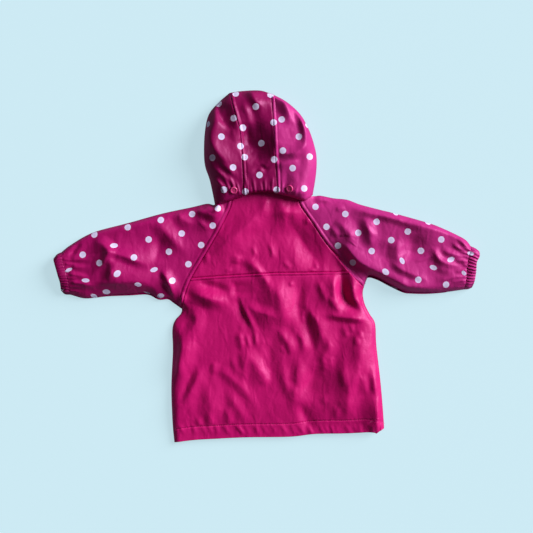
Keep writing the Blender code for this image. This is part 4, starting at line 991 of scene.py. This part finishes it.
def makeCuff(side, material, seam, top, under):
    # An elastic casing as a ring: from 0 to 1 over the upper layer and from 1 to 2 back underneath.
    own = cuff[side]
    phase = np.random.default_rng(own["seed"]).uniform(0, 2 * pi, 3)

    def surface(a, b):
        underneath = (a > 1) & (a < 2)
        share = np.where(a > 1, 2 - a, a)
        plan = patch(seam, edges[f"{side}CuffEdge"], top, under, share, b)
        height = garmentSurface(plan)
        ends = smooth(share, 0, cuff["flatEnds"]) * smooth(1 - share, 0, cuff["flatEnds"])
        # The gathers are unevenly spaced, lean a little and differ in strength.
        spacing, leaning = 0.9 * np.sin(5 * share + phase[0]), 0.6 * np.sin(3 * b + phase[1])
        turn = 2 * pi * own["gathers"] * share + spacing + leaning
        second, rate = cuff["second"]
        gather = np.cos(turn) + second * np.cos(rate * turn + phase[2])
        strength = 0.75 + 0.35 * np.sin(9 * share + 2 * phase[0]) + 0.2 * np.sin(23 * share + phase[1])
        height += ends * (own["rise"] * strength * gather + cuff["bulge"] * np.sin(pi * b))
        height[underneath] = 0.0
        return np.column_stack((plan, height)), plan

    inside = cuff["underStarts"]
    back = np.linspace(1 + inside, 2 - inside, cuff["underColumns"])
    across = np.concatenate((np.linspace(0, 1, cuff["topColumns"]), back, [2]))
    rows = np.linspace(0, 1, cuff["rows"])
    name = f"cuff{side.capitalize()}"
    ring = shell(name, material, across, rows, surface, dots["sleeves"], "dotted_cloth", ring=True)
    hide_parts(f"cuff_{side}")


def makeCuffs():
    leftSeam, rightSeam = edges["leftCuffSeam"] - (half, 0), edges["rightCuffSeam"] + (half, 0)
    # The left cuff's cloth carries painted shade.
    makeCuff("left", dottedClothPaintedShade, leftSeam, edges["leftCuffTop"][::-1], edges["leftCuffUnder"])
    # The right cuff's cloth carries painted sheen.
    makeCuff("right", dottedClothPaintedSheen, rightSeam, edges["rightCuffTop"], edges["rightCuffUnder"][::-1])


def hoodPanel(name, material, lines, rim, along, across):
    # A panel between its start, edge and side lines that then turns under, round its edge, as far as the rim.
    start, edge, firstSide, lastSide = lines
    turned = 1 + hood["turnShare"]

    def surface(a, b):
        points = np.zeros((len(a), 3))
        over = b <= 1
        plan = patch(start, edge, firstSide, lastSide, a[over], b[over])
        points[over] = np.column_stack((plan, hoodSurface(plan)))
        under = ~over
        outer, inner = atShare(edge, a[under]), atShare(rim, a[under])
        width = np.linalg.norm(inner - outer, axis=1)
        inward = (inner - outer) / width[:, None]
        b = b[under]
        base = hood["base"]
        onFloor = base + (b - turned) / (2 - turned) * (width - base)
        inBy = np.where(b < turned, base * (b - 1) / (turned - 1), onFloor)
        height = base - np.sqrt(base**2 - np.clip(base - inBy, 0, base) ** 2)
        points[under] = np.column_stack((outer + inBy[:, None] * inward, height))
        plan = points[:, :2].copy()
        plan[under] = outer - inBy[:, None] * inward  # the print runs on round the edge
        return points, plan

    return shell(name, material, along, across, surface, dots["hood"], "dotted_cloth")


def makeHood():
    leftSeam, rightSeam = edges["hoodSeamLeft"], edges["hoodSeamRight"]
    turning = 1 + hood["turnShare"] * np.linspace(*hood["turnRows"])
    under = np.concatenate((turning, np.linspace(*hood["underRows"])))
    along, out = gridOf("hoodSide", hood["cell"])
    out = np.concatenate((out, under))
    centreAcross, centreUp = gridOf("hoodCentre", hood["cell"])
    leftEdge, rightEdge = edges["hoodEdgeLeft"], edges["hoodEdgeRight"][::-1]
    leftStart, rightStart = movedRight(leftSeam, -half), movedRight(rightSeam, half)
    # The hood's left side and centre carry painted shade.
    left = hoodPanel(
        "hoodSideLeft", dottedClothPaintedShade,
        (leftStart, leftEdge, edges["napeLeft"], np.array((leftStart[-1], leftEdge[-1]))),
        edges["faceRimLeft"], along, out,
    )
    # The right side's cloth carries painted sheen.
    right = hoodPanel(
        "hoodSideRight", dottedClothPaintedSheen,
        (rightStart, rightEdge, edges["napeRight"], np.array((rightStart[-1], rightEdge[-1]))),
        edges["faceRimRight"][::-1], along, out,
    )
    centre = hoodPanel(
        "hoodCentre", dottedClothPaintedShade,
        (edges["napeCentre"], edges["hoodTop"], movedRight(leftSeam, half), movedRight(rightSeam, -half)),
        edges["faceRimTop"], centreAcross, np.concatenate((centreUp, under)),
    )
    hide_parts("hood_side_left")
    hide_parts("hood_side_right")
    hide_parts("hood_centre")


snap = {
    "section": (  # a moulded cap from its middle outwards: radius, height
        (0, 1.0), (1.6, 0.95), (2.7, 0.8), (3.3, 0.85), (3.8, 1.3), (4.4, 1.55), (5.1, 1.5), (5.7, 1.1),
        (6.0, 0.5), (6.0, -0.6),
    ),
    "steps": 48,
    "hood": {"left": (-53.0, 124.0), "right": (38.0, 126.5)},
    "hoodLift": 0.4,
    "slopeReach": 4.0,  # the cap tilts with the cloth this far round it
    "frontCount": 5,
    "frontFirst": 22.0,  # from the placket's top
    "frontLast": 40.0,  # from the hem
    "frontHeight": 0.85,
    "frontThin": 0.5,  # share of a cap's height that the ones in front have
}


def snapCap(name, place, normal, node, height=1.0):
    # A turned form: the section is spun round the cap's axis.
    shape = bmesh.new()
    rim = [shape.verts.new((radius * mm, 0, up * height * mm)) for radius, up in snap["section"]]
    line = [shape.edges.new(pair) for pair in zip(rim, rim[1:])]
    bmesh.ops.spin(
        shape, geom=rim + line, cent=(0, 0, 0), axis=(0, 0, 1), angle=2 * pi, steps=snap["steps"],
        use_duplicate=False,
    )
    bmesh.ops.remove_doubles(shape, verts=shape.verts, dist=1e-6)
    bmesh.ops.recalc_face_normals(shape, faces=shape.faces)
    turn = Vector((0, 0, 1)).rotation_difference(Vector(normal)).to_matrix().to_4x4()
    bmesh.ops.transform(shape, verts=shape.verts, matrix=Matrix.Translation(Vector(place) * mm) @ turn)
    cap = addPiece(name, shape, snapPlastic)
    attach(cap, "root")
    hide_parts(node)


def makeHoodSnaps():
    reach = snap["slopeReach"]
    cross = np.array(((0, 0), (-1, 0), (1, 0), (0, -1), (0, 1)))
    for side, (x, y) in snap["hood"].items():
        heights = hoodSurface((x, y) + reach * cross)
        tilt = np.array((heights[1] - heights[2], heights[3] - heights[4], 2 * reach))
        tilt /= np.linalg.norm(tilt)
        place = (x, y, heights[0] + snap["hoodLift"])
        snapCap(f"hoodSnap{side.capitalize()}", place, tilt, f"hood_snap_{side}")
    print("hood snaps made")


neckBand = {"run": 115, "cell": 2.5, "rows": 10}


def makeNeckBand():
    neck, top = edges["neck"] + (0, seamGap), edges["bandTop"]
    band = garmentPanel(
        "neckBand", plainCloth, (neck, top, np.array((neck[0], top[0])), np.array((neck[-1], top[-1]))),
        (stations(neckBand["run"], neckBand["cell"]), np.linspace(0, 1, neckBand["rows"])), garmentSurface,
    )
    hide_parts("neck_band")


def placketSurface(points):
    rise, *wave = resting["placketUneven"]
    return resting["placketFace"] + rise * ripples(points, *wave)


def makeFronts():
    leftEnd, rightStart = resting["placketLeft"] - half, resting["placketRight"] + half
    top = resting["placketTop"]
    hem = edges["hem"] + (0, resting["hemRise"])
    leftLevel, rightLevel = np.interp((leftEnd, rightStart), hem[:, 0], hem[:, 1])
    leftHem = np.vstack((hem[hem[:, 0] < leftEnd - 1], (leftEnd, leftLevel)))
    rightHem = np.vstack(((rightStart, rightLevel), hem[hem[:, 0] > rightStart + 1]))
    leftSide = np.vstack((edges["leftSide"][1:], edges["leftRaglan"][-2:0:-1] + (half, 0)))
    rightSide = np.vstack((edges["rightSide"][::-1][1:], edges["rightRaglan"][-2:0:-1] - (half, 0)))
    leftOpening = np.array(((leftEnd, leftLevel), (leftEnd, top)))
    rightOpening = np.array(((rightStart, rightLevel), (rightStart, top)))
    left = garmentPanel(
        "frontLeft", plainCloth, (leftHem, edges["frontNeckLeft"], leftSide, leftOpening),
        gridOf("frontLeft", resting["cell"]), restingSurface,
    )
    right = garmentPanel(
        "frontRight", plainCloth, (rightHem, edges["frontNeckRight"], rightOpening, rightSide),
        gridOf("frontRight", resting["cell"]), restingSurface,
    )
    foot = np.array(((leftEnd + 2 * half, leftLevel), (rightStart - 2 * half, rightLevel)))
    head = np.array(((leftEnd + 2 * half, top), (rightStart - 2 * half, top)))
    placketGrid = [stations(run, cell) for run, cell in zip(runs["frontPlacket"], resting["placketCells"])]
    placket = garmentPanel(
        "frontPlacket", plainCloth, (foot, head, np.array((foot[0], head[0])), np.array((foot[1], head[1]))),
        placketGrid, placketSurface,
    )
    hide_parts("front_left")
    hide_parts("front_right")
    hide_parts("front_placket")
    middle = (leftEnd + rightStart) / 2
    rows = np.linspace(top - snap["frontFirst"], leftLevel + snap["frontLast"], snap["frontCount"])
    for i, y in enumerate(rows):
        place = (middle, y, snap["frontHeight"])
        snapCap(f"frontSnap{i + 1}", place, (0, 0, -1), f"front_snap_{i + 1}", snap["frontThin"])


stitch = {"length": 2.3, "pitch": 3.1, "halfWidth": 0.28, "halfHeight": 0.2, "lift": 0.12}


def topstitch(name, surface, routes):
    # Rows of lockstitch along lines on a surface, as one joined mesh.
    shape = bmesh.new()
    size = (stitch["length"] / 2, stitch["halfWidth"], stitch["halfHeight"])
    total = 0
    for line in routes:
        count = int(lengths(line)[-1] / stitch["pitch"])
        middles = (np.arange(count) + 0.5) * stitch["pitch"]
        ends = [atDistance(line, middles + away) for away in (-stitch["length"] / 2, stitch["length"] / 2)]
        first, last = (np.column_stack((end, surface(end) + stitch["lift"])) for end in ends)
        total += count
        for start, end in zip(first, last):
            turn = Vector(end - start).to_track_quat("X", "Z").to_matrix().to_4x4()
            middle = Matrix.Translation(Vector((start + end) / 2) * mm)
            place = middle @ turn @ Matrix.Diagonal((*size, 1 / mm)) * mm
            place[3][3] = 1.0
            bmesh.ops.create_icosphere(shape, subdivisions=1, radius=1.0, matrix=place)
    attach(addPiece(name, shape, sewingThread), "root")
    print("stitching", name, total, "stitches")


def makeStitching():
    raglan, yoke, hoodSeam = (topstitchAway[name] for name in ("raglan", "yoke", "hood"))
    left, right = movedRight(edges["leftRaglan"], raglan), movedRight(edges["rightRaglan"], -raglan)
    topstitch("topstitchRaglans", garmentSurface, (left, right))
    topstitch("topstitchYoke", garmentSurface, (movedRight(edges["yokeSeam"], yoke),))
    topstitch("topstitchHem", garmentSurface, (hemStitch,))
    left, right = movedRight(edges["hoodSeamLeft"], hoodSeam), movedRight(edges["hoodSeamRight"], hoodSeam)
    topstitch("topstitchHood", hoodSurface, (left, right))


makeBack()
makeSleeves()
makeCuffs()
makeHood()
makeHoodSnaps()
makeNeckBand()
makeFronts()
makeSleeveFronts()
makeStitching()

for name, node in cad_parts.items():
    if "stud" in name:
        node.data.materials.clear()
        node.data.materials.append(snapPlastic)

table = {
    "colour": "cbe9f3",
    "glow": 0.8,  # share of its brightness that comes from below, so that shadows stay faint
    "halfSize": 4.0,
    "drop": 0.0003,
}


def makeTable():
    # Opal acrylic, lit from below: matt, even and pale.
    material = bpy.data.materials.new("opal acrylic light table, pale blue")
    material.use_nodes = True
    inputs = material.node_tree.nodes["Principled BSDF"].inputs
    colour = linear(table["colour"])
    inputs["Base Color"].default_value = (*(c * (1 - table["glow"]) for c in colour[:3]), 1.0)
    inputs["Emission Color"].default_value = colour
    inputs["Emission Strength"].default_value = table["glow"]
    inputs["Roughness"].default_value = 0.9
    shape = bmesh.new()
    bmesh.ops.create_grid(shape, x_segments=1, y_segments=1, size=table["halfSize"])
    bmesh.ops.translate(shape, verts=shape.verts, vec=(0, 0, -table["drop"]))
    floor = addPiece("floor", shape, material)
    floor.visible_glossy = False  # the coating mirrors the dim room instead of the table


view = {"lens": 85.0, "sensor": 36.0, "width": 0.8795, "middle": (0.0004, -0.0003), "level": 0.006}


def setCamera():
    # Straight above, as high as it takes to see the given width at the cloth's level.
    data = bpy.data.cameras.new("camera")
    data.lens = view["lens"]
    data.sensor_width = view["sensor"]
    camera = bpy.data.objects.new("camera", data)
    camera.location = (*view["middle"], view["width"] * view["lens"] / view["sensor"] + view["level"])
    bpy.context.scene.collection.objects.link(camera)
    bpy.context.scene.camera = camera


light = {
    "sun": 6.3,
    "softness": 34.0,  # degrees that the window takes up
    "elevation": 26.0,
    "azimuth": 26.0,
    "sky": 0.1,
    "skyTint": (1.0, 0.85, 0.9, 1.0),
}


def setLight():
    # A large low window on the right and a dim room.
    data = bpy.data.lights.new("window light", "SUN")
    data.energy = light["sun"]
    data.angle = radians(light["softness"])
    sun = bpy.data.objects.new("window light", data)
    rise, side = radians(light["elevation"]), radians(light["azimuth"])
    towards = Vector((cos(rise) * cos(side), cos(rise) * sin(side), sin(rise)))
    sun.rotation_mode = "QUATERNION"
    sun.rotation_quaternion = towards.to_track_quat("Z", "Y")
    bpy.context.scene.collection.objects.link(sun)
    world = bpy.data.worlds.new("studio")
    world.use_nodes = True
    background = world.node_tree.nodes["Background"].inputs
    background["Color"].default_value = light["skyTint"]
    background["Strength"].default_value = light["sky"]
    bpy.context.scene.world = world
    bpy.context.scene.view_settings.view_transform = "Standard"


makeTable()
setCamera()
setLight()
print("light and camera set")
